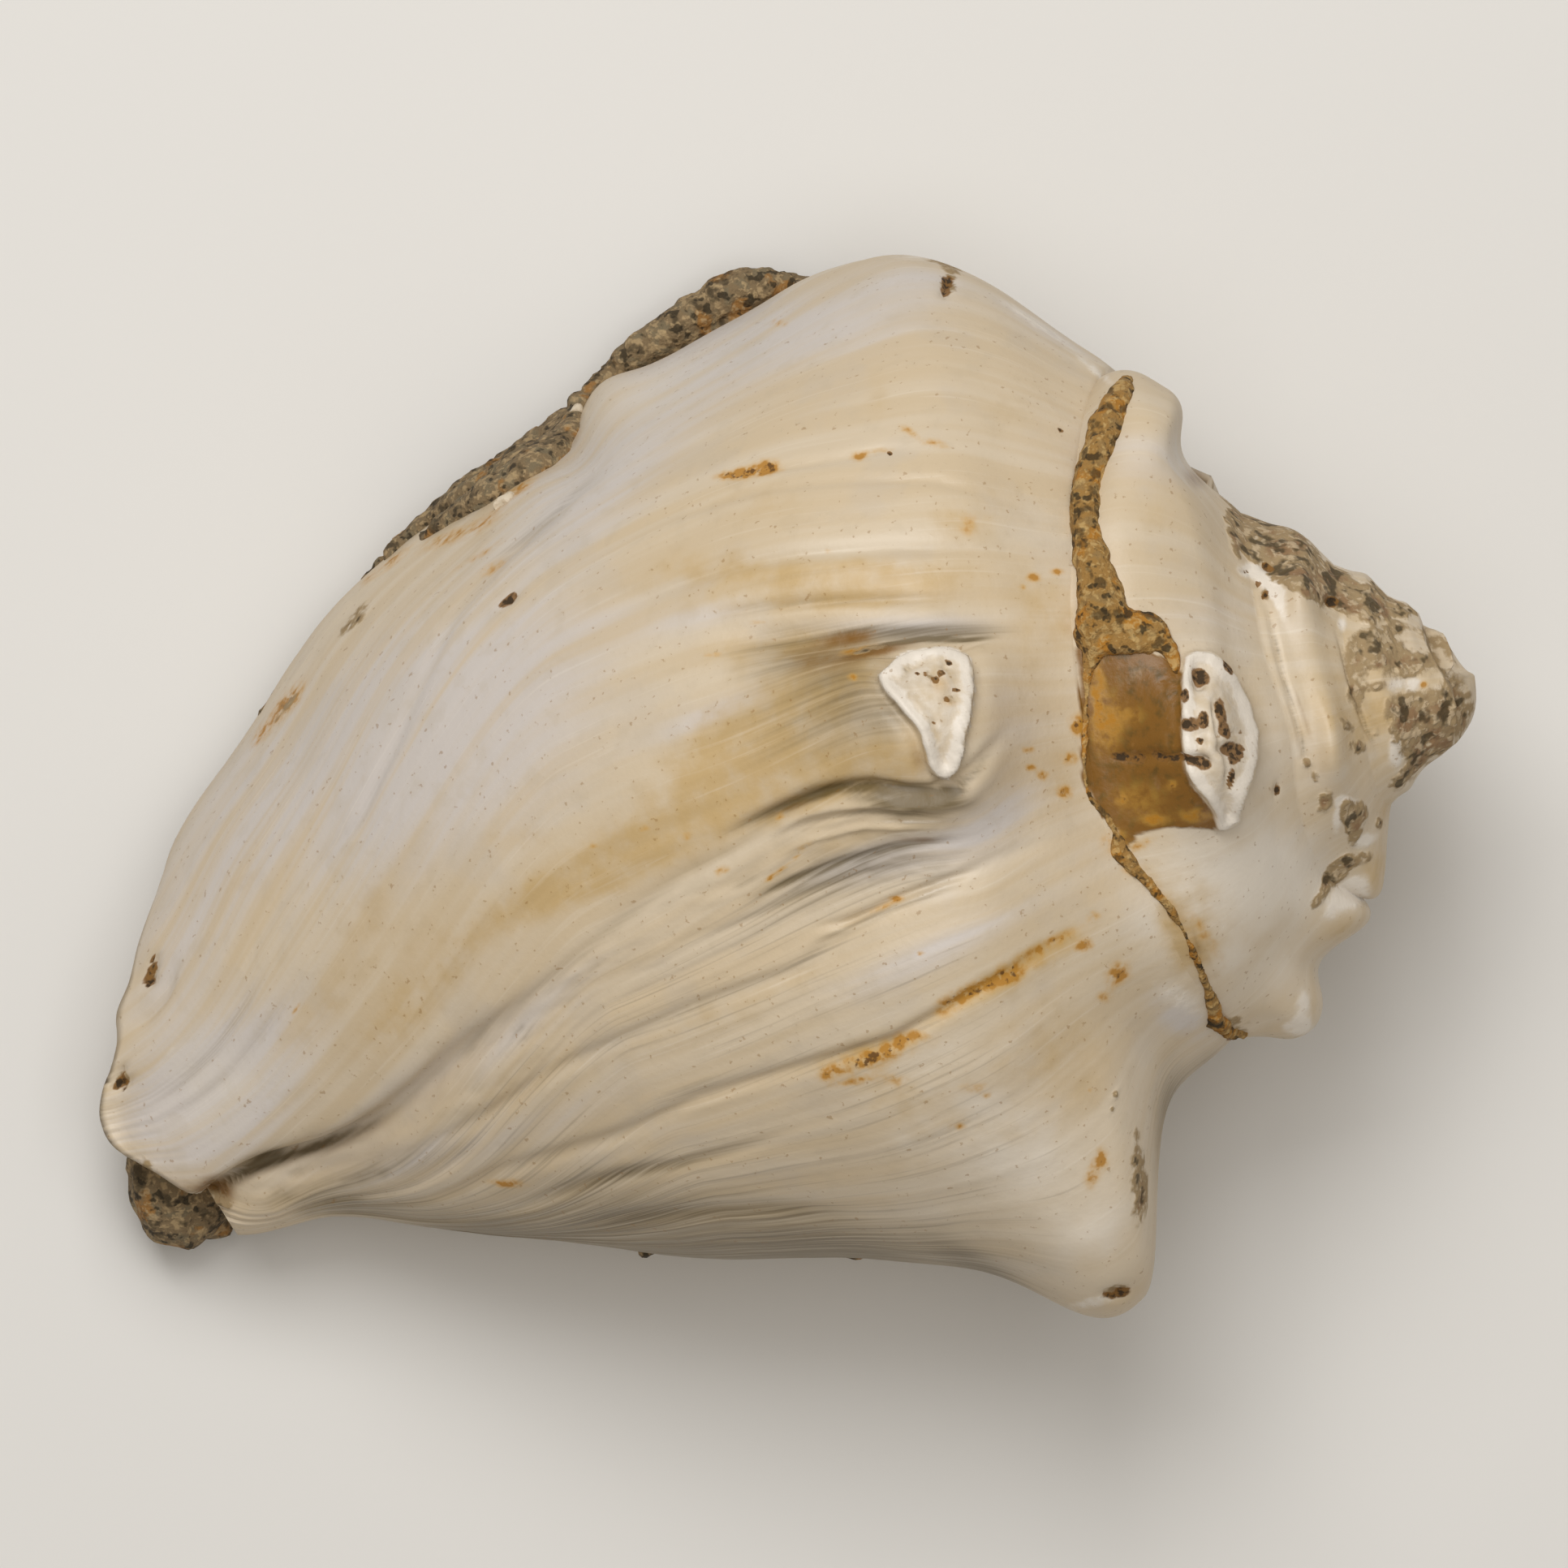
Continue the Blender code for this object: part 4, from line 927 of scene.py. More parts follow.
        (590, 685, 2.5, 0.3, 30, 0.4), (450, 712, 0.8, 0.3, 50, 0.5), (1480, 1150, 3, 0.5, -55, 0.4),
        (1442, 1128, 5, 0.45, -58, 0.36), (1368, 1035, 1, 1, 0, 0.6), (1250, 1190, 5, 1, 28, 0.32),
        (1080, 1298, 5, 1, 15, 0.32),
    ),
    Channel.SOIL: (
        (1160, 318, 2.2, 0.6, -25, 0.9), (1168, 350, 0.7, 1, 0, 0.9), (1398, 1440, 0.55, 3, 0, 0.9),
        (1404, 1475, 0.7, 1.8, 0, 0.9), (1370, 1346, 0.3, 0.3, 0, 0.7), (1367, 1364, 0.25, 0.25, 0, 0.7),
        (1374, 1589, 1.2, 0.5, 15, 0.9), (184, 1203, 0.5, 0.9, 0, 0.8), (148, 1330, 0.7, 0.8, 0, 0.8),
        (222, 1060, 0.4, 1, -10, 0.6), (437, 760, 1.8, 0.5, 50, 0.8), (350, 870, 1.6, 0.6, 50, 0.6),
        (190, 1455, 4, 1.2, -30, 0.55), (1555, 735, 0.3, 0.8, 10, 0.6), (1512, 600, 0.7, 1.6, 10, 0.7),
        (1150, 847, 0.9, 0.5, -45, 0.55), (1168, 864, 0.7, 0.35, 0, 0.52), (1142, 832, 0.5, 0.35, 0, 0.5),
        (1686, 793, 1.5, 1.1, 0, 1.1), (1704, 810, 2.6, 1.2, -8, 1.1), (1728, 820, 1.3, 1, -20, 1.1),
        (1667, 842, 0.8, 1.9, 0, 1.1), (1686, 847, 1, 0.4, 10, 0.7), (1716, 773, 0.8, 0.6, 0, 1),
        (1760, 786, 1.6, 0.6, -30, 0.75), (1778, 794, 0.9, 0.9, 0, 0.75), (1785, 840, 0.8, 1.4, -20, 0.7),
        (1765, 815, 0.5, 1.2, 30, 0.6), (1722, 882, 0.9, 1.5, 0, 1.1), (1745, 888, 2.2, 1.8, 0, 1.2),
        (1775, 884, 2, 1.6, 0, 1.1), (1797, 870, 0.9, 1.8, 0, 0.8), (1755, 912, 1.8, 1.1, 0, 1),
        (1738, 930, 0.8, 1.5, 0, 0.9), (1762, 930, 1.4, 0.5, 40, 0.6), (1652, 892, 0.9, 0.35, -45, 0.85),
        (1666, 920, 0.9, 0.55, 0, 0.95), (1691, 907, 0.4, 0.7, 0, 0.7), (1715, 965, 0.7, 0.5, 0, 0.95),
        (1725, 951, 0.5, 0.7, 0, 0.75), (1605, 940, 0.35, 0.4, 0, 0.8), (1616, 956, 0.4, 0.5, 0, 0.8),
        (1627, 985, 0.55, 1.1, -8, 1.1), (1658, 1000, 0.7, 0.9, 0, 1), (1675, 998, 0.4, 0.7, 20, 0.9),
        (1665, 1020, 0.6, 1.2, 0, 1.1), (1697, 1014, 0.35, 0.45, 0, 0.8), (1631, 1091, 1.7, 0.5, 58, 1.2),
        (1652, 1068, 1.3, 0.75, 30, 1.2), (1672, 1058, 1.1, 0.45, 15, 1), (1733, 990, 0.5, 0.8, -30, 0.6),
        (1600, 1275, 0.8, 0.8, 0, 0.4), (1520, 1262, 1.5, 0.8, -20, 0.8), (268, 1482, 0.9, 1.3, 0, 0.8),
        (1076, 801, 1.8, 0.24, 12, 0.75),
    ),
    Channel.BROWN: (
        (1395, 875, 3.6, 4.2, 0, 1), (1336, 860, 0.3, 2.4, 0, 0.9), (1010, 880, 5, 3.2, 10, 0.12),
        (1470, 1160, 4, 0.5, -60, 0.4), (1160, 843, 1.1, 0.9, 40, 0.5), (1160, 925, 0.6, 0.9, 0, 0.3),
        (1090, 803, 3, 0.45, 10, 0.7), (1046, 788, 2.4, 0.7, 6, 0.75), (1470, 590, 1.3, 1, -20, 0.6),
        (200, 1460, 4, 1, -20, 0.4), (262, 1470, 1.5, 1.5, 40, 1), (1010, 815, 4, 1.4, 0, 0.4),
        # The brown strokes at (975, 995) and (1130, 1034) darken creases below the knob, partly as painted
        # shade
        (1130, 935, 0.8, 1.6, 20, 0.4), (975, 995, 3, 0.3, 20, 0.5), (1130, 1034, 2, 0.3, 0, 0.6),
        (1600, 880, 0.3, 3, 20, 0.4),
    ),
    # Besides worn white, thin pale strokes are painted highlights: on fold ridges at (1120, 1012), (1120,
    # 1026) and (1150, 1096), and along the upper edge at (1130, 316), (1270, 395) and (1350, 460), there with
    # worn white
    Channel.WHITE: (
        (1436, 848, 0.5, 1.3, -10, 0.9), (1560, 722, 2, 0.8, -40, 0.9), (1534, 704, 1, 0.6, 0, 0.8),
        (1604, 1240, 0.8, 2, 0, 0.7), (1595, 1265, 1.4, 0.7, 0, 0.8), (1350, 1600, 3, 0.6, 15, 0.7),
        (1130, 316, 3.2, 0.5, 0, 0.5), (1678, 1035, 1.2, 0.6, 20, 1), (1717, 926, 0.8, 1.6, 0, 0.95),
        (1715, 845, 0.9, 0.8, 0, 0.7), (1652, 1108, 2.4, 1.3, 42, 0.85), (1668, 1095, 1.2, 1.1, 0, 0.6),
        (1650, 770, 0.5, 0.9, 0, 0.7), (1645, 1005, 0.5, 1.7, -8, 0.85), (1657, 986, 1, 0.4, 0, 0.7),
        (1736, 852, 0.6, 0.6, 0, 0.5), (1450, 1228, 1.3, 3, 60, 0.6), (1270, 395, 5, 0.5, -33, 0.6),
        (1350, 460, 2.5, 0.5, -40, 0.6), (1572, 745, 0.5, 2.2, 20, 0.6), (1740, 840, 0.9, 0.5, 0, 0.6),
        (1770, 850, 0.8, 0.6, 0, 0.5), (1120, 1012, 4, 0.25, 0, 0.5), (1120, 1026, 3.5, 0.2, 3, 0.45),
        (1150, 1096, 3.5, 0.2, 22, 0.5), (1460, 1020, 3, 0.2, 0, 0.4), (205, 1300, 3, 0.4, 50, 0.4),
    ),
}


@dataclass(frozen=True)
class SurfaceDetail:
    """What the back shows: its relief and its painted quantities, for any place of the shell. Millimetres."""

    # The worn tops of the knobs: a raised rim, a dished middle and an edge that falls off outside
    rim_height: float = 0.4
    rim_inset: float = 0.34
    rim_width: float = 0.32
    rim_unevenness: float = 0.3
    dish: Span = (0.3, 1.2)
    dish_depth: float = 0.4
    dish_roughness: float = 0.12
    facet_cliff: float = 0.9
    crescent_cliff: float = 0.4
    cliff: Span = (0.1, -0.5)
    cliff_width: float = 1.1
    edge_wander: float = 0.08
    # Their chalk white, from its edge to the duller middle
    bare: Span = (-0.3, 0.15)
    white_edge: Span = (-0.2, 0.2)
    white_wander: float = 0.2
    dull_edge: Span = (0.45, 1.1)
    dull_wander: float = 0.4
    dulling: float = 0.55
    broken: Noise = Noise(1.2, 57)
    # Brown of the flank of the knob on the spire, and how much of it stays on a worn top
    flank_edge: Span = (-0.15, 0.2)
    flank_wander: float = 0.1
    flank_brown: float = 1.05
    brown_kept: float = 0.4
    # Pits, and soil with its crust
    pit_ragged: float = 0.9
    pit_grain: Noise = Noise(0.7, 83)
    soil_ragged: float = 1.1
    soil_edge: Noise = Noise(1.3, 31, 4)
    crust_ragged: float = 0.9
    crust_edge: Span = (-0.5, 0.6)
    soil_rise: Span = (0.2, 0.8)
    soil_height: float = 0.12
    soil_roughness: float = 0.22
    soil_grain: Noise = Noise(0.9, 5, 2)
    # Where a place faces up enough for what the photograph shows, and the underside's own blotches and soil
    seen: Span = (-0.15, 0.1)
    raised: Span = (0.05, 0.35)
    unseen: Span = (-0.3, 0.3)
    blotch: Noise = Noise(14.0, 77, 4)
    blotch_edge: Span = (-0.1, 0.6)
    blotch_ochre: float = 0.5
    dirt: Noise = Noise(9.0, 91, 4)
    dirt_edge: Span = (0.35, 0.75)
    swell: Noise = Noise(7.0, 11)
    swell_height: float = 0.12

    def patch_sum(self, channel: Channel, photo: Array) -> Array:
        """Sum of a channel's patches at places in the photograph's millimetres."""
        return sum((Patch(*row).weight(photo) for row in PATCHES[channel]), np.zeros(len(photo)))

    def soil(self, photo: Array, place: Array) -> Array:
        """Share of soil and crust, ragged at its edges.

        Args:
            photo: places in the photograph's millimetres.
            place: the same places in the frame, in metres.

        Returns:
            0 on bare shell, about 1 under a crust.
        """
        ragged = self.soil_edge.at(place)
        patches = self.patch_sum(Channel.SOIL, photo) * np.clip(1 + self.soil_ragged * ragged, 0, 2)
        crust = smoothstep(*self.crust_edge, SPIRE_CRUST.depth_inside(photo) + self.crust_ragged * ragged)
        return np.clip(np.maximum(patches, crust), 0, 1)

    def paint(self, place: Array, facing: Array) -> dict[Channel, Array]:
        """Painted quantities of the shell.

        Args:
            place: places in the frame, in metres.
            facing: how far each place faces up, 1 for straight up.

        Returns:
            An array for each channel.
        """
        photo = PLAN.to_photo(place)
        painted = {channel: self.patch_sum(channel, photo) for channel in PATCHES}
        painted[Channel.SOIL] = self.soil(photo, place)
        worn = np.maximum(BACK_FACET.depth_inside(photo), SPIRE_CRESCENT.depth_inside(photo))
        broken = self.broken.at(place)
        bare = 1 - smoothstep(*self.bare, worn)
        dull = smoothstep(*self.dull_edge, worn + self.dull_wander * broken)
        chalk = smoothstep(*self.white_edge, worn + self.white_wander * broken) * (1 - self.dulling * dull)
        flank = smoothstep(*self.flank_edge, SPIRE_FLANK.depth_inside(photo) + self.flank_wander * broken)
        painted[Channel.WHITE] = painted[Channel.WHITE] * bare + chalk
        painted[Channel.BROWN] *= self.brown_kept + (1 - self.brown_kept) * bare
        painted[Channel.BROWN] += self.flank_brown * flank * bare
        pits = [Patch(*row[:-1], 1.0).weight(photo) for row in PITS]
        painted[Channel.PIT] = np.max(pits, axis=0) * (1 + self.pit_ragged * self.pit_grain.at(place))
        # Painted shade of the creases and between the pleats
        painted[Channel.SHADE] += np.max([mark.weights(photo)[1] for mark in MARKS], axis=0)
        seen = smoothstep(*self.seen, facing)
        for amounts in painted.values():
            amounts *= seen
        unseen = 1 - smoothstep(*self.unseen, facing)
        blotch = smoothstep(*self.blotch_edge, self.blotch.at(place))
        painted[Channel.OCHRE] += unseen * self.blotch_ochre * blotch
        painted[Channel.SOIL] += unseen * smoothstep(*self.dirt_edge, self.dirt.at(place))
        return painted

    def relief(self, place: Array, facing: Array) -> Array:
        """Height of the surface's own relief in millimetres.

        Args:
            place: places in the frame, in metres.
            facing: how far each place faces up, 1 for straight up.

        Returns:
            Height along the surface's normal.
        """
        photo = PLAN.to_photo(place)
        height = sum(mark.weights(photo)[0] for mark in MARKS)
        broken = self.broken.at(place)
        for outline, cliff in ((BACK_FACET, self.facet_cliff), (SPIRE_CRESCENT, self.crescent_cliff)):
            depth = outline.depth_inside(photo) + self.edge_wander * broken
            rim = self.rim_height * (1 + self.rim_unevenness * broken)
            rim = rim * np.exp(-(((depth - self.rim_inset) / self.rim_width) ** 2))
            dish = smoothstep(*self.dish, depth) * (self.dish_depth - self.dish_roughness * broken)
            below = np.exp(-((np.minimum(depth, 0) / self.cliff_width) ** 2))
            height += rim - dish - cliff * smoothstep(*self.cliff, depth) * below
        for row in PITS:
            height -= Patch(*row).weight(photo)
        crusted = smoothstep(*self.soil_rise, self.soil(photo, place))
        height += crusted * (self.soil_height + self.soil_roughness * self.soil_grain.at(place))
        return height * smoothstep(*self.raised, facing) + self.swell_height * self.swell.at(place)


DETAIL = SurfaceDetail()


def nudged(place: Array, nudges: Rows) -> Array:
    """Places in the frame, in metres, after every nudge."""
    return place + sum(Nudge(*row).shift(place) for row in nudges)


def deselect_all() -> None:
    """Leave nothing selected, because the frame's nodes come in selected."""
    bpy.ops.object.select_all(action="DESELECT")


def vertex_array(mesh: Mesh) -> Array:
    """Places of the mesh's vertices.

    Args:
        mesh: the mesh.

    Returns:
        A place in each row.
    """
    places = np.empty(len(mesh.vertices) * 3, np.float32)
    mesh.vertices.foreach_get("co", places)
    return places.reshape(-1, 3).astype(float)


def set_vertex_array(mesh: Mesh, places: Array) -> None:
    """Put the mesh's vertices at the places."""
    mesh.vertices.foreach_set("co", np.ascontiguousarray(places, np.float32).ravel())
    mesh.update()


def normal_array(mesh: Mesh) -> Array:
    """Normals of the mesh's vertices.

    Args:
        mesh: the mesh.

    Returns:
        A normal in each row.
    """
    normals = np.empty(len(mesh.vertices) * 3, np.float32)
    mesh.vertex_normals.foreach_get("vector", normals)
    return normals.reshape(-1, 3).astype(float)


def paint_mesh(mesh: Mesh, painted: dict[Channel, Array]) -> None:
    """Store the painted quantities as the mesh's attributes.

    Args:
        mesh: mesh to paint.
        painted: an array for each channel, one number for each vertex.
    """
    for name in ATTRIBUTES:
        colours = np.zeros((len(mesh.vertices), 4), np.float32)
        colours[:, 3] = 1
        for channel, amounts in painted.items():
            if channel.value[0] == name:
                colours[:, channel.value[1]] = np.clip(amounts, 0, 1)
        layer = mesh.color_attributes.new(name, "FLOAT_COLOR", "POINT")
        layer.data.foreach_set("color", colours.ravel())


def store_number(mesh: Mesh, name: str, values: Array) -> None:
    """Keep one number for each vertex in the mesh, so that it lasts while vertices are merged."""
    layer = mesh.attributes.new(name, "FLOAT", "POINT")
    layer.data.foreach_set("value", np.asarray(values, np.float32))


def read_number(mesh: Mesh, name: str) -> Array:
    """Numbers kept in the mesh, which is then rid of them.

    Args:
        mesh: the mesh that keeps them.
        name: name that they are kept under.

    Returns:
        One number for each vertex.
    """
    layer = mesh.attributes[name]
    values = np.empty(len(mesh.vertices), np.float32)
    layer.data.foreach_get("value", values)
    mesh.attributes.remove(layer)
    return values


def joined(parts: list[Piece], name: str) -> Piece:
    """Join the parts into the first of them.

    Args:
        parts: objects to join.
        name: name of the piece and its mesh.

    Returns:
        The joined piece.
    """
    deselect_all()
    for part in parts:
        part.select_set(True)
    bpy.context.view_layer.objects.active = parts[0]
    bpy.ops.object.join()
    parts[0].name = name
    parts[0].data.name = name
    return parts[0]


def finish_mesh(piece: Piece, nodes: tuple[str, ...]) -> None:
    """Shade the piece smooth, hang it under the root, and hide the frame's nodes that it stands for.

    Args:
        piece: finished piece.
        nodes: frame's nodes that the piece stands for.
    """
    piece.data.shade_smooth()
    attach(piece, "root")
    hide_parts(*nodes)


def finish_shell(piece: Piece, line_strength: Array) -> None:
    """Paint a closed skin of the shell, and finish it, hiding the frame's shell.

    Args:
        piece: the closed skin.
        line_strength: how strongly the growth lines show at each vertex.
    """
    mesh = piece.data
    painted = DETAIL.paint(vertex_array(mesh), normal_array(mesh)[:, 2])
    painted[Channel.LINES] = line_strength
    paint_mesh(mesh, painted)
    finish_mesh(piece, ("shell",))


@dataclass
class WrappedGrid:
    """A grid of one skin of the shell, wrapped round its form."""

    name: str
    columns: int
    rows: int
    side: float = 2.0

    def add(self) -> tuple[Piece, Array, Array]:
        """Add the flat grid.

        Returns:
            The object, and the column and the row of each of its vertices.
        """
        deselect_all()
        bpy.ops.mesh.primitive_grid_add(
            x_subdivisions=self.columns - 1, y_subdivisions=self.rows - 1, size=self.side
        )
        piece = bpy.context.active_object
        piece.name = self.name
        piece.data.name = self.name
        share = vertex_array(piece.data) / self.side + 0.5
        column = np.rint(share[:, 0] * (self.columns - 1)).astype(int)
        row = np.rint(share[:, 1] * (self.rows - 1)).astype(int)
        return piece, column, row

    def numbers(self, column: Array, row: Array) -> Array:
        """Number of the vertex in each column and row.

        Args:
            column: the column of each vertex.
            row: its row.

        Returns:
            The numbers of the vertices, counted in the order of the given pairs.
        """
        numbers = np.zeros((self.columns, self.rows), int)
        numbers[column, row] = np.arange(len(column))
        return numbers


def set_growth_uv(mesh: Mesh, across: Array, along: Array) -> None:
    """Give the mesh its UV map.

    Args:
        mesh: mesh of the grid, before its vertices are merged.
        across: millimetres across the growth lines for each vertex.
        along: millimetres along them for each vertex.
    """
    corners = np.empty(len(mesh.loops), np.int32)
    mesh.loops.foreach_get("vertex_index", corners)
    uv = np.stack([across[corners], along[corners]], axis=-1).astype(np.float32)
    mesh.uv_layers[0].name = "growth"
    mesh.uv_layers[0].uv.foreach_set("vector", uv.ravel())


def merge_doubles(piece: Piece) -> None:
    """Merge the piece's doubled vertices.

    Args:
        piece: the piece to mend.
    """
    deselect_all()
    piece.select_set(True)
    bpy.context.view_layer.objects.active = piece
    bpy.ops.object.mode_set(mode="EDIT")
    bpy.ops.mesh.select_all(action="SELECT")
    bpy.ops.mesh.remove_doubles(threshold=MERGE_DISTANCE)
    bpy.ops.object.mode_set(mode="OBJECT")


def select_open_edges(piece: Piece, low_x: float, high_x: float) -> None:
    """Select the piece's open edges whose ends both lie in a range of X, and stay in edit mode.

    Args:
        piece: the object.
        low_x: start of the range, in metres.
        high_x: end of the range, in metres.
    """
    bpy.ops.object.mode_set(mode="EDIT")
    bpy.ops.mesh.select_mode(type="EDGE")
    bpy.ops.mesh.select_all(action="DESELECT")
    bpy.ops.mesh.select_non_manifold(
        extend=False, use_wire=False, use_boundary=True, use_multi_face=False, use_non_contiguous=False,
        use_verts=False,
    )
    bpy.ops.object.mode_set(mode="OBJECT")
    mesh = piece.data
    along = vertex_array(mesh)[:, 0]
    inside = (along >= low_x) & (along <= high_x)
    ends = np.empty(len(mesh.edges) * 2, np.int32)
    mesh.edges.foreach_get("vertices", ends)
    ends = ends.reshape(-1, 2)
    chosen = np.empty(len(mesh.edges), bool)
    mesh.edges.foreach_get("select", chosen)
    chosen &= inside[ends[:, 0]] & inside[ends[:, 1]]
    mesh.edges.foreach_set("select", chosen)
    points = np.zeros(len(mesh.vertices), bool)
    points[ends[chosen]] = True
    mesh.vertices.foreach_set("select", points)
    mesh.polygons.foreach_set("select", np.zeros(len(mesh.polygons), bool))
    bpy.ops.object.mode_set(mode="EDIT")


def close_opening(piece: Piece, low_x: float, high_x: float, rings: Rows = ()) -> None:
    """Close a round opening: run its edge inwards ring by ring, then gather it in one point.

    Args:
        piece: the object.
        low_x: start of the range of X that holds the opening, in metres.
        high_x: end of that range, in metres.
        rings: how far along X each ring lies from the one before, in millimetres, and its scale.
    """
    select_open_edges(piece, low_x, high_x)
    for shift, scale in rings:
        bpy.ops.mesh.extrude_edges_move(TRANSFORM_OT_translate={"value": (shift * MM, 0, 0)})
        bpy.ops.transform.resize(value=(1, scale, scale))
    bpy.ops.mesh.extrude_edges_move(TRANSFORM_OT_translate={"value": (0, 0, 0)})
    bpy.ops.mesh.merge(type="CENTER")
    bpy.ops.mesh.select_all(action="SELECT")
    bpy.ops.mesh.normals_make_consistent(inside=False)
    bpy.ops.object.mode_set(mode="OBJECT")


@dataclass
class BodyWhorl:
    """The last whorl with its lip and canal, as one closed skin. Millimetres, with growth in degrees."""

    # Growth at which the columns' spacing changes, and the columns between
    column_knots: Row = (-250, -100, -65, 45, 110)
    column_counts: tuple[int, ...] = (45, 70, 350, 115)
    closing_columns: int = 8
    rows: int = 166
    row_knots: Row = (0, 0.03, 0.24, 1.0)
    row_counts: Row = (0, 0.04, 0.38, 1.0)
    mm_per_degree: float = 0.61
    line_length: float = 84.0
    # Station between the opening at the suture and the one at the canal
    middle_station: float = 40.0
    # How the lines swing on their way down, and how they hook round the knob: degrees, growth, spread
    drift_share: Span = (0.1, 0.6)
    hooks: Rows = ((4, 2, 9), (2, -13, 8))
    hook_share: float = 0.13
    hook_reach: float = 0.05
    # How they wander, away from the first line, the lip and the suture
    wander: float = 0.5
    wander_spacing: float = 14
    wander_rows: float = 9
    wander_seed: int = 3
    wander_growths: tuple[Span, ...] = ((-95, -80), (108, 98))
    wander_share: Span = (0.02, 0.1)
    # Growth folds: spacing, length, height, seed. Their strength changes from place to place
    folds: Rows = ((4.2, 60, 0.20, 21), (1.7, 45, 0.11, 22), (0.8, 30, 0.05, 23))
    fold_mean: float = 0.65
    fold_change: float = 0.5
    change_spacings: float = 5
    change_length: float = 18
    change_seed: int = 9
    # Where they are strong, by spans of growth and of share: under the knob, canal, lip, upper back
    plain_strength: float = 0.28
    zones: tuple[tuple[float, tuple[Span, ...], tuple[Span, ...]], ...] = (
        (0.75, ((-85, -60), (12, -5)), ((0.08, 0.2),)), (0.25, (), ((0.6, 0.85),)), (0.1, ((72, 95),), ()),
        (0.2, ((14, 30),), ((0.45, 0.25),)),
    )
    # What is left of them at the suture and on the belly
    smoothed: float = 0.4
    suture_share: Span = (0.02, 0.14)
    belly: Span = (-140, -100)

    def drifted(self, line: Array, share: Array) -> Array:
        """Where a growth line goes on its way down: it swings round the knob and back towards the canal.

        Args:
            line: growth of the line at the suture.
            share: share of the way down.

        Returns:
            The growth at each point.
        """
        moved = line + table_value(LINE_DRIFT, line) * smoothstep(*self.drift_share, share)
        hook = sum(amount * np.exp(-(((line - at) / spread) ** 2)) for amount, at, spread in self.hooks)
        moved = moved - hook * np.exp(-(((share - self.hook_share) / self.hook_reach) ** 2))
        points = np.stack([line / self.wander_spacing, share * self.wander_rows], axis=-1)
        wander = lattice_noise(points, self.wander_seed) * smoothstep(*self.wander_share, share)
        return moved + self.wander * wander * rises(self.wander_growths, line)

    def skin(self, line: Array, share: Array) -> Array:
        """Point of the bare form on a growth line, in plan millimetres.

        Args:
            line: growth of the lines.
            share: share of the way from the suture to the front edge.

        Returns:
            The points.
        """
        growth = FORM.crowded_growth(self.drifted(line, share), share)
        start = table_value(SUTURE_STATION, growth)
        end = table_value(FRONT_STATION, growth)
        return FORM.body_point(growth, start + (end - start) * share)

    def growth_relief(self, line: Array, share: Array) -> Array:
        """Height of the growth folds in millimetres.

        Args:
            line: growth of the line at the suture.
            share: share of the way down.

        Returns:
            Height at each point.
        """
        across = line * self.mm_per_degree
        along = share * self.line_length
        height = np.zeros_like(line)
        for spacing, length, amount, seed in self.folds:
            folds = lattice_noise(np.stack([across / spacing, along / length], axis=-1), seed)
            patch = self.change_spacings * spacing
            change = np.stack([across / patch, along / self.change_length], axis=-1)
            strength = self.fold_mean + self.fold_change * lattice_noise(change, seed + self.change_seed)
            height += amount * strength * folds
        return height * self.line_strength(line, share)

    def line_strength(self, line: Array, share: Array) -> Array:
        """How strongly the growth lines show.

        Args:
            line: growth of the line at the suture.
            share: share of the way down.

        Returns:
            Near 0 where the shell is smooth, above 1 where it is silky.
        """
        strength = self.plain_strength
        for amount, growths, shares in self.zones:
            strength = strength + amount * rises(growths, line) * rises(shares, share)
        for span, at in ((self.suture_share, share), (self.belly, line)):
            strength = strength * (self.smoothed + (1 - self.smoothed) * smoothstep(*span, at))
        return strength

    def grid_places(self, lines: Array, shares: Array) -> Array:
        """Places of the whole grid: the growth lines, the lip's edge, and the closing wall back to the first.

        Args:
            lines: growth of each line at the suture.
            shares: share of the way down of each row.

        Returns:
            Places in the frame, in metres, for each column and row.
        """
        grid = self.skin(*np.meshgrid(lines, shares, indexing="ij"))
        edge = grid[-1]
        rim = edge - np.array([0, FORM.lip_thickness, FORM.lip_inner_drop])
        rim_middle = (edge + rim) / 2 - np.array([0, 0, FORM.lip_rounding])
        steps = np.linspace(0, 1, self.closing_columns + 2)[1:, None, None]
        closing = rim * (1 - steps) + grid[0] * steps
        return FORM.place(np.concatenate([grid, [rim_middle, rim], closing]))

    def build(self) -> Piece:
        """Wrap the grid, raise its relief, close it and paint it.

        Returns:
            The finished piece.
        """
        passed = np.cumsum([0, *self.column_counts])
        lines = np.interp(np.arange(passed[-1] + 1), passed, self.column_knots)
        shares = np.interp(np.linspace(0, 1, self.rows), self.row_counts, self.row_knots)
        places = self.grid_places(lines, shares)
        outer = len(lines)
        total = len(places)
        wrapped = WrappedGrid("body_whorl", total, self.rows)
        piece, column, row = wrapped.add()
        mesh = piece.data
        set_vertex_array(mesh, nudged(places[column, row], (*NUDGES, *EDGE_NUDGES)))

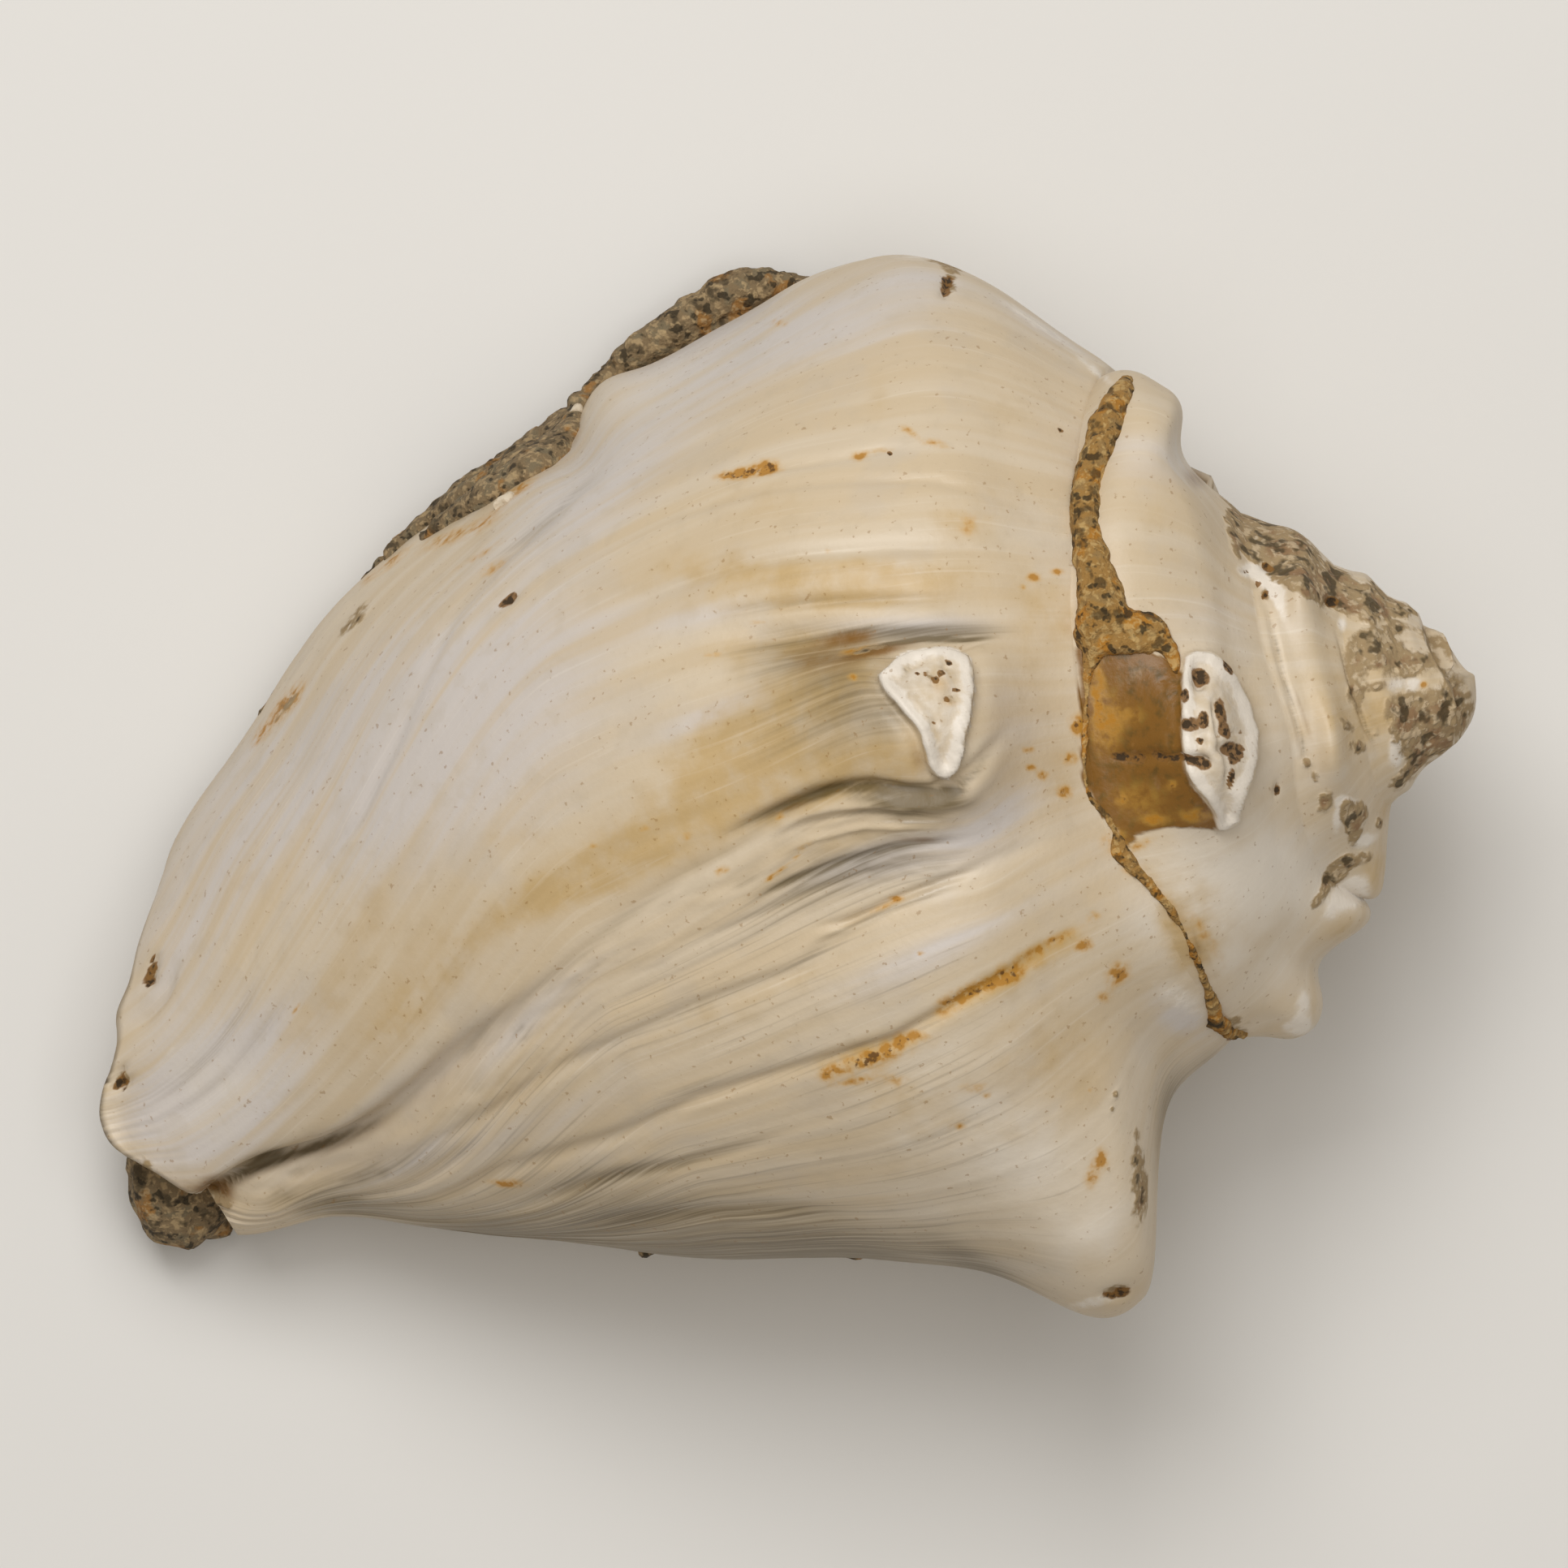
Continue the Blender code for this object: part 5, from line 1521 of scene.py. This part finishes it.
        line = lines[np.minimum(column, outer - 1)]
        share = shares[row]
        past_lip = np.maximum(column - outer + 1, 0)
        set_growth_uv(mesh, line * self.mm_per_degree + past_lip, share * self.line_length)
        places = vertex_array(mesh)
        normals = normal_array(mesh)
        if normals[np.argmax(places[:, 2]), 2] < 0:
            normals = -normals
        height = self.growth_relief(line, share) + DETAIL.relief(places, normals[:, 2])
        places += normals * (height * (column < outer) * MM)[:, None]
        places[:, 2] = np.maximum(places[:, 2], 0)
        last = column == total - 1
        places[last] = places[wrapped.numbers(column, row)[0, row[last]]]
        store_number(mesh, "line_strength", self.line_strength(line, share))
        set_vertex_array(mesh, places)
        merge_doubles(piece)
        middle_x = (PLAN.apex_x - self.middle_station) * MM
        close_opening(piece, middle_x, FAR)
        close_opening(piece, -FAR, middle_x)
        finish_shell(piece, read_number(mesh, "line_strength"))
        return piece


@dataclass
class Spire:
    """The stepped whorls above the last suture, as one closed skin. Millimetres."""

    # Shares of a turn of columns where their spacing changes, and the growth reached there: finer on the back
    columns_per_turn: int = 400
    column_shares: Row = (0, 0.2, 0.95, 1)
    column_turns: Row = (0, 135, 335, 360)
    rows: int = 60
    row_shares: Row = (0, 0.15, 0.85, 1)
    row_places: Row = (0, 0.22, 0.74, 1)
    # How far along the axis, and to what scale, each ring of the tip and of the hidden skirt runs in
    tip_rings: Rows = ((0.12, 0.88), (0.08, 0.8), (0.05, 0.7), (0.0, 0.5))
    tip_station: float = 8.0
    skirt_rings: Rows = ((-8.0, 0.75),)
    mm_per_degree: float = 0.4
    flank_length: float = 14.0
    line_strength: float = 0.3

    def build(self) -> Piece:
        """Wind the grid, weld its sutures, raise its relief, close it and paint it.

        Returns:
            The finished piece.
        """
        whorls = (FORM.spire_end - FORM.spire_start) // 360
        total = whorls * self.columns_per_turn + 1
        wrapped = WrappedGrid("spire", total, self.rows)
        piece, column, row = wrapped.add()
        mesh = piece.data
        whorl, step = np.divmod(np.arange(total), self.columns_per_turn)
        within = np.interp(step / self.columns_per_turn, self.column_shares, self.column_turns)
        growths = FORM.spire_start + 360 * whorl + within
        shares = np.interp(np.linspace(0, 1, self.rows), self.row_shares, self.row_places)
        grid = FORM.place(FORM.spire_point(*np.meshgrid(growths, shares, indexing="ij")))
        set_vertex_array(mesh, nudged(grid[column, row], NUDGES))
        set_growth_uv(mesh, growths[column] * self.mm_per_degree, shares[row] * self.flank_length)

        places = vertex_array(mesh)
        numbers = wrapped.numbers(column, row)
        places[numbers[self.columns_per_turn :, 0]] = places[numbers[: -self.columns_per_turn, -1]]
        set_vertex_array(mesh, places)
        merge_doubles(piece)
        tip_x = (PLAN.apex_x - self.tip_station) * MM
        close_opening(piece, tip_x, FAR, self.tip_rings)
        close_opening(piece, -FAR, tip_x, self.skirt_rings)
        places = vertex_array(mesh)
        normals = normal_array(mesh)
        places += normals * (DETAIL.relief(places, normals[:, 2]) * MM)[:, None]
        places[:, 2] = np.maximum(places[:, 2], 0)
        set_vertex_array(mesh, places)
        finish_shell(piece, np.full(len(mesh.vertices), self.line_strength))
        return piece


@dataclass(frozen=True)
class Lump:
    """A ball of sediment: pixel of its middle, radius in millimetres, and height of its middle.

    Where the height is left out, the ball lies on the shell, sunk in by a share of its radius.
    """

    at: Pixel
    radius: float
    height: float | None = None
    sunk: float = 0.25

    def add(self, ground: list[Piece]) -> Piece:
        """Add the ball.

        Args:
            ground: pieces of the shell that it may lie on.

        Returns:
            The new object.
        """
        x, y = PLAN.to_frame(self.at)
        height = self.height
        if height is None:
            hits = [piece.ray_cast((x, y, FAR), (0, 0, -1)) for piece in ground]
            height = max([hit[1][2] / MM for hit in hits if hit[0]], default=0) - self.sunk * self.radius
        bpy.ops.mesh.primitive_ico_sphere_add(
            subdivisions=2, radius=self.radius * MM, location=(x, y, height * MM)
        )
        ball = bpy.context.active_object
        bpy.ops.object.transform_apply(location=True, rotation=True, scale=True)
        return ball


def lump_chain(path: Rows, spacing: float, sunk: float) -> list[Lump]:
    """Lumps strung along a line, close enough to run together.

    Args:
        path: pixel and radius in millimetres of points on the line.
        spacing: distance between lumps, in radii.
        sunk: share of the radius that each is sunk in by.

    Returns:
        The lumps.
    """
    lumps = []
    for (right, down, radius), (next_right, next_down, next_radius) in zip(path, path[1:]):
        length = math.hypot(next_right - right, next_down - down) * PLAN.mm_per_pixel
        count = max(1, math.ceil(length / (spacing * min(radius, next_radius))))
        for k in range(count):
            t = k / count
            at = (right + (next_right - right) * t, down + (next_down - down) * t)
            lumps.append(Lump(at, radius + (next_radius - radius) * t, sunk=sunk))
    return [*lumps, Lump(path[-1][:2], path[-1][2], sunk=sunk)]


@dataclass
class Sediment:
    """Hardened sediment with a granular surface, grown from lumps and, in the mouth, from the frame's solid.

    The remesh's voxel and the height of the coarse and the fine grain are millimetres.
    """

    node: str
    voxel: float
    lumps: tuple[Lump, ...]
    coarse_height: float
    coarse: Noise
    fine_height: float
    fine: Noise
    from_node: bool = True

    def copy_node(self) -> Piece:
        """A merged copy of the frame's solid.

        Returns:
            The new object.
        """
        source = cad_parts[self.node]
        piece = bpy.data.objects.new(self.node, source.data.copy())
        bpy.context.collection.objects.link(piece)
        merge_doubles(piece)
        return piece

    def build(self, ground: list[Piece]) -> Piece:
        """Join the lumps, remesh, roughen, and lay the piece on the ground.

        Args:
            ground: pieces of the shell that lumps may lie on.

        Returns:
            The finished piece.
        """
        deselect_all()
        parts = [lump.add(ground) for lump in self.lumps]
        if self.from_node:
            parts.insert(0, self.copy_node())
        piece = joined(parts, self.node + "_grown")
        skin = piece.modifiers.new("Skin", "REMESH")
        skin.mode = "VOXEL"
        skin.voxel_size = self.voxel * MM
        bpy.ops.object.modifier_apply(modifier=skin.name)
        mesh = piece.data
        mesh.name = piece.name
        mesh.materials.clear()
        places = vertex_array(mesh)
        rough = self.coarse_height * self.coarse.at(places) + self.fine_height * self.fine.at(places)
        places += normal_array(mesh) * (rough * MM)[:, None]
        places[:, 2] = np.maximum(places[:, 2], 0)
        set_vertex_array(mesh, places)
        finish_mesh(piece, (self.node,))
        return piece


@dataclass(frozen=True)
class ShellBits:
    """Bits of broken shell that stick in the sediment, as one piece. Millimetres, with tilts in radians."""

    bits: Rows = SHELL_BITS
    thickness: float = 0.8
    tilt: tuple[float, float] = (0.3, 0.2)
    chip_size: float = 0.6
    chip_depth: float = 0.3
    chip_seed: int = 71

    def build(self) -> Piece:
        """Add a flat, chipped ball for each bit and join them.

        Returns:
            The finished piece.
        """
        parts = []
        for right, down, length, width, height, heading in self.bits:
            x, y = PLAN.to_frame((right, down))
            deselect_all()
            bpy.ops.mesh.primitive_ico_sphere_add(
                subdivisions=3, radius=0.5 * MM, location=(x, y, height * MM),
                rotation=(*self.tilt, math.radians(heading) - PLAN.axis_tilt),
                scale=(length, width, self.thickness),
            )
            parts.append(bpy.context.active_object)
            bpy.ops.object.transform_apply(location=True, rotation=True, scale=True)
        piece = joined(parts, "shell_bits")
        places = vertex_array(piece.data)
        chipped = self.chip_depth * lattice_noise(places / MM / self.chip_size, self.chip_seed)
        set_vertex_array(piece.data, places + normal_array(piece.data) * (chipped * MM)[:, None])
        finish_mesh(piece, ("aperture_matrix",))
        return piece


# Optical values of aragonite and of the lime that binds the sand
ARAGONITE_IOR = 1.53
ARAGONITE_SPECULAR = 0.4


def linear(colour: str) -> tuple[float, float, float, float]:
    """Linear red, green and blue, and 1, of an sRGB hex value such as #C8BBA4."""
    parts = [int(colour[k : k + 2], 16) / 255 for k in (1, 3, 5)]
    return (*[c / 12.92 if c <= 0.04045 else ((c + 0.055) / 1.055) ** 2.4 for c in parts], 1.0)


def add_node(
    tree: bpy.types.NodeTree, kind: str, links: dict[str | int, object] | None = None, **settings: object
) -> bpy.types.Node:
    """Add a node with its settings and links.

    Args:
        tree: node tree to add to.
        kind: type of node.
        links: for each input, the output socket it is linked to or its value.
        settings: the node's own properties.

    Returns:
        The node.
    """
    node = tree.nodes.new(kind)
    for name, value in settings.items():
        setattr(node, name, value)
    for socket, value in (links or {}).items():
        if isinstance(value, bpy.types.NodeSocket):
            tree.links.new(value, node.inputs[socket])
        else:
            node.inputs[socket].default_value = value
    return node


@dataclass(frozen=True)
class Grain:
    """A noise of the surface in millimetres. With a length it is drawn out along the growth lines."""

    size: float
    detail: float
    length: float | None = None


@dataclass(frozen=True)
class Layer:
    """A colour that shows where a noise times a painted quantity is between two values."""

    colour: str
    grain: str
    low: float
    high: float
    channel: Channel | None = None
    ragged: float = 1.0
    strength: float = 1.0
    roughness: float | None = None
    relief: float = 0.0


def build_surface(
    name: str, base: str, roughness: float, bump: float, grains: dict[str, Grain], layers: tuple[Layer, ...]
) -> bpy.types.Material:
    """Make a matt or satin mineral surface out of colours laid one over another.

    Args:
        name: name of the material.
        base: colour under every layer.
        roughness: roughness under every layer.
        bump: height of the finest grain's relief in millimetres.
        grains: the surface's noises, the finest last.
        layers: colours from the lowest up.

    Returns:
        The material.
    """
    material = bpy.data.materials.new(name)
    material.use_nodes = True
    tree = material.node_tree
    tree.nodes.clear()
    place = add_node(tree, "ShaderNodeTexCoord").outputs["Object"]
    noises = {}
    for grain_name, grain in grains.items():
        vector, scale = place, 1 / (grain.size * MM)
        if grain.length:
            growth = add_node(tree, "ShaderNodeUVMap", uv_map="growth").outputs["UV"]
            drawn_out = {"Vector": growth, "Scale": (1 / grain.size, 1 / grain.length, 1)}
            vector = add_node(tree, "ShaderNodeMapping", drawn_out).outputs["Vector"]
            scale = 1.0
        noises[grain_name] = add_node(
            tree, "ShaderNodeTexNoise", {"Vector": vector, "Scale": scale, "Detail": grain.detail}
        ).outputs["Fac"]
    painted: dict[Channel | None, object] = {None: 1.0}
    for attribute in sorted({layer.channel.value[0] for layer in layers if layer.channel}):
        stored = add_node(tree, "ShaderNodeAttribute", attribute_name=attribute).outputs["Color"]
        split = add_node(tree, "ShaderNodeSeparateColor", {"Color": stored})
        for channel in Channel:
            if channel.value[0] == attribute:
                painted[channel] = split.outputs[channel.value[1]]

    colour: object = linear(base)
    rough: object = roughness
    finest = list(noises.values())[-1]
    height = add_node(tree, "ShaderNodeMath", {0: finest, 1: bump}, operation="MULTIPLY").outputs[0]
    for layer in layers:
        noise = noises[layer.grain]
        spread = {0: noise, 1: 2 * layer.ragged, 2: 1 - layer.ragged}
        uneven = add_node(tree, "ShaderNodeMath", spread, operation="MULTIPLY_ADD").outputs[0]
        weighed = {0: uneven, 1: painted[layer.channel]}
        amount = add_node(tree, "ShaderNodeMath", weighed, operation="MULTIPLY").outputs[0]
        mask = add_node(
            tree, "ShaderNodeMapRange",
            {"Value": amount, "From Min": layer.low, "From Max": layer.high, "To Max": layer.strength},
            interpolation_type="SMOOTHSTEP",
        ).outputs["Result"]
        mixed = {0: mask, 6: colour, 7: linear(layer.colour)}
        colour = add_node(tree, "ShaderNodeMix", mixed, data_type="RGBA").outputs[2]
        if layer.roughness is not None:
            mixed = {0: mask, 2: rough, 3: layer.roughness}
            rough = add_node(tree, "ShaderNodeMix", mixed, data_type="FLOAT").outputs[0]
        if layer.relief:
            raised = add_node(tree, "ShaderNodeMath", {0: mask, 1: noise}, operation="MULTIPLY").outputs[0]
            added = {0: raised, 1: layer.relief, 2: height}
            height = add_node(tree, "ShaderNodeMath", added, operation="MULTIPLY_ADD").outputs[0]
    relief = add_node(tree, "ShaderNodeBump", {"Strength": 1.0, "Distance": MM, "Height": height})
    shader = add_node(tree, "ShaderNodeBsdfPrincipled", {
        "Base Color": colour, "Roughness": rough, "Normal": relief.outputs["Normal"], "IOR": ARAGONITE_IOR,
        "Specular IOR Level": ARAGONITE_SPECULAR,
    })
    add_node(tree, "ShaderNodeOutputMaterial", {"Surface": shader.outputs["BSDF"]})
    return material


@dataclass(frozen=True)
class WornShell:
    """Fossil aragonite, the stuff of old shells: worn satin by sand and water, then stained in the ground;
    its colours also hold painted shade, highlights and light.
    """

    name: str = "worn_fossil_aragonite"
    cream: str = "#C6B395"
    roughness: float = 0.45
    bump: float = 0.03

    def build(self) -> bpy.types.Material:
        """Make the material.

        Returns:
            The material.
        """
        grains = {
            "cloud": Grain(6.0, 4.0),
            "band": Grain(2.6, 3.0, 45.0),
            "stripe": Grain(1.1, 3.0, 22.0),
            "hair": Grain(0.42, 4.0, 16.0),
            "mottle": Grain(2.2, 5.0),
            "clot": Grain(1.3, 2.0),
            "grit": Grain(0.9, 4.0),
            "speck": Grain(0.55, 3.0),
        }
        layers = (
            # The shell's own colours, in soft bands along the growth lines
            Layer("#D2C6B3", "band", 0.5, 1.6, ragged=2.0, strength=0.45),
            Layer("#C6BFBA", "band", 0.15, 1.1, Channel.LILAC, ragged=1.2, strength=0.9),
            Layer("#B9AFA2", "cloud", 1.0, 1.7, ragged=2.0, strength=0.25),
            Layer("#B5A68D", "mottle", 1.1, 1.7, ragged=2.0, strength=0.18),
            # Pale patches, partly painted light on faces turned from the lamps
            Layer("#E2D9CB", "cloud", 0.1, 1.0, Channel.PALE, ragged=0.8, strength=0.85),
            Layer("#BB9B60", "mottle", 0.15, 1.3, Channel.OCHRE, ragged=1.0, strength=0.72),
            Layer("#A98F62", "stripe", 0.5, 1.6, Channel.OCHRE, ragged=2.0, strength=0.3),
            # Lines of growth, with pale hairlines all over as a painted sheen on their fine ridges
            Layer("#7D7160", "hair", 1.15, 2.1, Channel.LINES, ragged=2.5, strength=0.3),
            Layer("#EDE6DA", "hair", 0.55, -0.1, ragged=2.5, strength=0.12),
            # Painted shade in the creases, folds and valleys and along the lower edge, with some old dirt in
            # the folds
            Layer("#55451F", "hair", 0.05, 1.0, Channel.SHADE, ragged=0.9, strength=0.82),
            # Worn tops of the knobs, and thin pale strokes that are painted highlights on fold ridges and the
            # upper edge
            Layer("#DDD4C7", "grit", 0.25, 0.75, Channel.WHITE, ragged=0.6, strength=0.95, relief=0.08),
            # Brown of the knob's flank
            Layer("#774F0A", "mottle", 0.1, 0.95, Channel.BROWN, ragged=0.6, strength=0.98, relief=0.12),
            Layer("#4A3D14", "grit", 0.8, 1.9, Channel.BROWN, ragged=1.8, strength=0.7),
            # Iron stains, and specks of them all over
            Layer("#8A6430", "speck", 2.15, 2.6, ragged=3.6, strength=0.45),
            Layer("#C0913C", "grit", 0.05, 0.55, Channel.RUST, ragged=1.6, strength=0.5),
            Layer("#A87316", "grit", 0.4, 0.8, Channel.RUST, ragged=1.8, strength=0.85, roughness=0.8),
            Layer("#53340C", "speck", 0.85, 1.3, Channel.RUST, ragged=2.0, strength=0.85),
            # Crust of soil
            Layer("#9A8462", "grit", 0.25, 0.65, Channel.SOIL, ragged=1.5, roughness=0.95, relief=0.1),
            Layer("#7E5A3C", "mottle", 0.9, 1.6, Channel.SOIL, ragged=2.6, strength=0.6),
            Layer("#BDA98A", "grit", 1.0, 1.7, Channel.SOIL, ragged=3.4, strength=0.8, relief=0.1),
            Layer("#443820", "clot", 1.0, 1.8, Channel.SOIL, ragged=3.2, strength=0.85),
            # Pits
            Layer("#7A5420", "grit", 0.25, 0.45, Channel.PIT, ragged=0.7, strength=0.92, roughness=0.9),
            Layer("#2E210E", "speck", 0.4, 0.85, Channel.PIT, ragged=1.8, strength=0.92),
        )
        return build_surface(self.name, self.cream, self.roughness, self.bump, grains, layers)


@dataclass(frozen=True)
class PackedSand:
    """Sand and shell grit, hardened by lime and iron in the ground and broken off: rough and matt."""

    name: str
    sand: str
    grey: str
    pale: str
    dark: str
    rust: str
    rust_from: float
    roughness: float = 0.95
    bump: float = 0.3

    def build(self) -> bpy.types.Material:
        """Make the material.

        Returns:
            The material.
        """
        grains = {
            "patch": Grain(2.6, 3.0), "clump": Grain(1.6, 3.0), "clot": Grain(0.9, 2.0),
            "grit": Grain(0.5, 2.0),
        }
        layers = (
            Layer(self.grey, "clump", 1.0, 1.5, ragged=2.0, strength=0.6),
            Layer(self.rust, "patch", self.rust_from, self.rust_from + 0.35, ragged=2.0, strength=0.75),
            Layer(self.pale, "clot", 1.15, 1.6, ragged=2.0, strength=0.65),
            Layer(self.pale, "grit", 1.2, 1.6, ragged=2.0, strength=0.6),
            # Dark hollows: dark grit, with painted shade where the surface sinks into its pores
            Layer(self.dark, "clump", 0.8, 0.4, ragged=2.0, strength=0.7, relief=-0.3),
            Layer(self.dark, "clot", 0.72, 0.35, ragged=2.0, strength=0.85, relief=-0.2),
        )
        return build_surface(self.name, self.sand, self.roughness, self.bump, grains, layers)


@dataclass(frozen=True)
class BrokenShell:
    """Aragonite of a broken bit of shell, pale and clean where it was split."""

    name: str = "broken_aragonite"
    white: str = "#C9BCA6"
    roughness: float = 0.5
    bump: float = 0.1

    def build(self) -> bpy.types.Material:
        """Make the material.

        Returns:
            The material.
        """
        grains = {"grit": Grain(0.5, 3.0)}
        layers = (Layer("#A89478", "grit", 1.0, 1.5, ragged=2.0, strength=0.6),)
        return build_surface(self.name, self.white, self.roughness, self.bump, grains, layers)


@dataclass(frozen=True)
class SoftLight:
    """A soft square light that faces the shell. Metres, right and up in the photograph, and watts."""

    name: str
    right: float
    up: float
    height: float
    size: float
    power: float

    def add(self) -> None:
        """Add the light."""
        cosine, sine = math.cos(PLAN.axis_tilt), math.sin(PLAN.axis_tilt)
        x = self.right * cosine + self.up * sine
        y = -self.right * sine + self.up * cosine
        deselect_all()
        bpy.ops.object.light_add(type="AREA", location=(x, y, self.height))
        light = bpy.context.active_object
        light.name = self.name
        light.data.size = self.size
        light.data.energy = self.power
        light.rotation_euler = light.location.to_track_quat("Z", "Y").to_euler()
        light.visible_camera = False


@dataclass
class Studio:
    """Pale floor, soft light and a camera that looks straight down, turned as in the photograph."""

    # Millimetres: how much the picture shows from side to side, and the height that it shows at that size
    middle_pixel: Pixel = (966.0, 966.0)
    picture_width: float = 125.58
    picture_height: float = 25.0
    # Metres
    camera_distance: float = 2.5
    camera_reach: float = 10.0
    floor_size: float = 6.0
    sensor_mm: float = 36.0
    floor_colour: str = "#D9D7D3"
    floor_roughness: float = 0.9
    room_colour: str = "#F0E7DA"
    room_strength: float = 0.34
    lights: tuple[SoftLight, ...] = (
        SoftLight("key_light", -0.10, 0.36, 0.70, 0.40, 3.7),
        SoftLight("overhead_fill", 0.08, 0.0, 1.0, 0.60, 3.0),
    )

    def add_floor(self) -> None:
        """Add the floor of pale, matt paper."""
        deselect_all()
        bpy.ops.mesh.primitive_plane_add(size=self.floor_size)
        floor = bpy.context.active_object
        floor.name = "studio_floor"
        material = bpy.data.materials.new("pale_paper")
        material.use_nodes = True
        shader = material.node_tree.nodes["Principled BSDF"]
        shader.inputs["Base Color"].default_value = linear(self.floor_colour)
        shader.inputs["Roughness"].default_value = self.floor_roughness
        floor.data.materials.append(material)

    def add_camera(self) -> None:
        """Add the camera, far off so that the view is nearly flat, as in the photograph."""
        x, y = PLAN.to_frame(self.middle_pixel)
        height = self.picture_height * MM + self.camera_distance
        deselect_all()
        bpy.ops.object.camera_add(location=(x, y, height), rotation=(0, 0, -PLAN.axis_tilt))
        camera = bpy.context.active_object
        camera.data.sensor_width = self.sensor_mm
        camera.data.lens = self.sensor_mm * self.camera_distance / (self.picture_width * MM)
        camera.data.clip_end = self.camera_reach
        bpy.context.scene.camera = camera

    def add_room(self) -> None:
        """Add the pale light that comes from all round."""
        world = bpy.data.worlds.new("soft_room")
        world.use_nodes = True
        background = world.node_tree.nodes["Background"]
        background.inputs["Color"].default_value = linear(self.room_colour)
        background.inputs["Strength"].default_value = self.room_strength
        bpy.context.scene.world = world
        bpy.context.scene.view_settings.view_transform = "Standard"

    def build(self) -> None:
        """Build the studio."""
        self.add_floor()
        self.add_camera()
        for light in self.lights:
            light.add()
        self.add_room()


def dress(piece: Piece, material: bpy.types.Material) -> None:
    """Give the piece its material, and log its name and its number of faces."""
    piece.data.materials.append(material)
    LOG.info("%s: %d faces", piece.name, len(piece.data.polygons))


def main() -> None:
    """Build the studio, the shell and its sediment, and dress them."""
    logging.basicConfig(level=logging.INFO, format="%(name)s %(message)s")
    Studio().build()
    aragonite = WornShell().build()
    shells = []
    for part in (BodyWhorl(), Spire()):
        piece = part.build()
        dress(piece, aragonite)
        shells.append(piece)
    mouth_sand = PackedSand(
        "lime_hardened_sand", sand="#79664A", grey="#6F6650", pale="#AC946E", dark="#2C2414", rust="#96692F",
        rust_from=1.2,
    )
    mouth_fill = Sediment(
        "aperture_matrix", voxel=0.45,
        lumps=(
            *(Lump((right, down), radius, height) for right, down, radius, height in LIP_LUMPS),
            *lump_chain(BROKEN_EDGE, spacing=0.8, sunk=0.35),
            *lump_chain(BROKEN_RIM, spacing=0.8, sunk=0.45),
            *lump_chain(BROKEN_MIDDLE, spacing=0.8, sunk=0.4),
        ),
        coarse_height=0.5, coarse=Noise(3.5, 41), fine_height=0.22, fine=Noise(1.0, 47, 2),
    )
    dress(mouth_fill.build(shells), mouth_sand.build())
    suture_sand = PackedSand(
        "iron_stained_sand", sand="#94703A", grey="#866E46", pale="#B89A64", dark="#2E230C", rust="#A8701C",
        rust_from=1.1,
    )
    suture_fill = Sediment(
        "suture_matrix", voxel=0.24,
        lumps=(
            *lump_chain(SUTURE_BAND, spacing=0.6, sunk=0.1),
            *lump_chain(SUTURE_LUMP, spacing=0.6, sunk=0.1),
            *lump_chain(SUTURE_LUMP_FOOT, spacing=0.6, sunk=0.2),
            *lump_chain(SUTURE_LINE, spacing=0.7, sunk=0.2),
        ),
        coarse_height=0.3, coarse=Noise(2.2, 41), fine_height=0.16, fine=Noise(0.7, 47, 2), from_node=False,
    )
    dress(suture_fill.build(shells), suture_sand.build())
    dress(ShellBits().build(), BrokenShell().build())


if __name__ == "__main__":
    main()
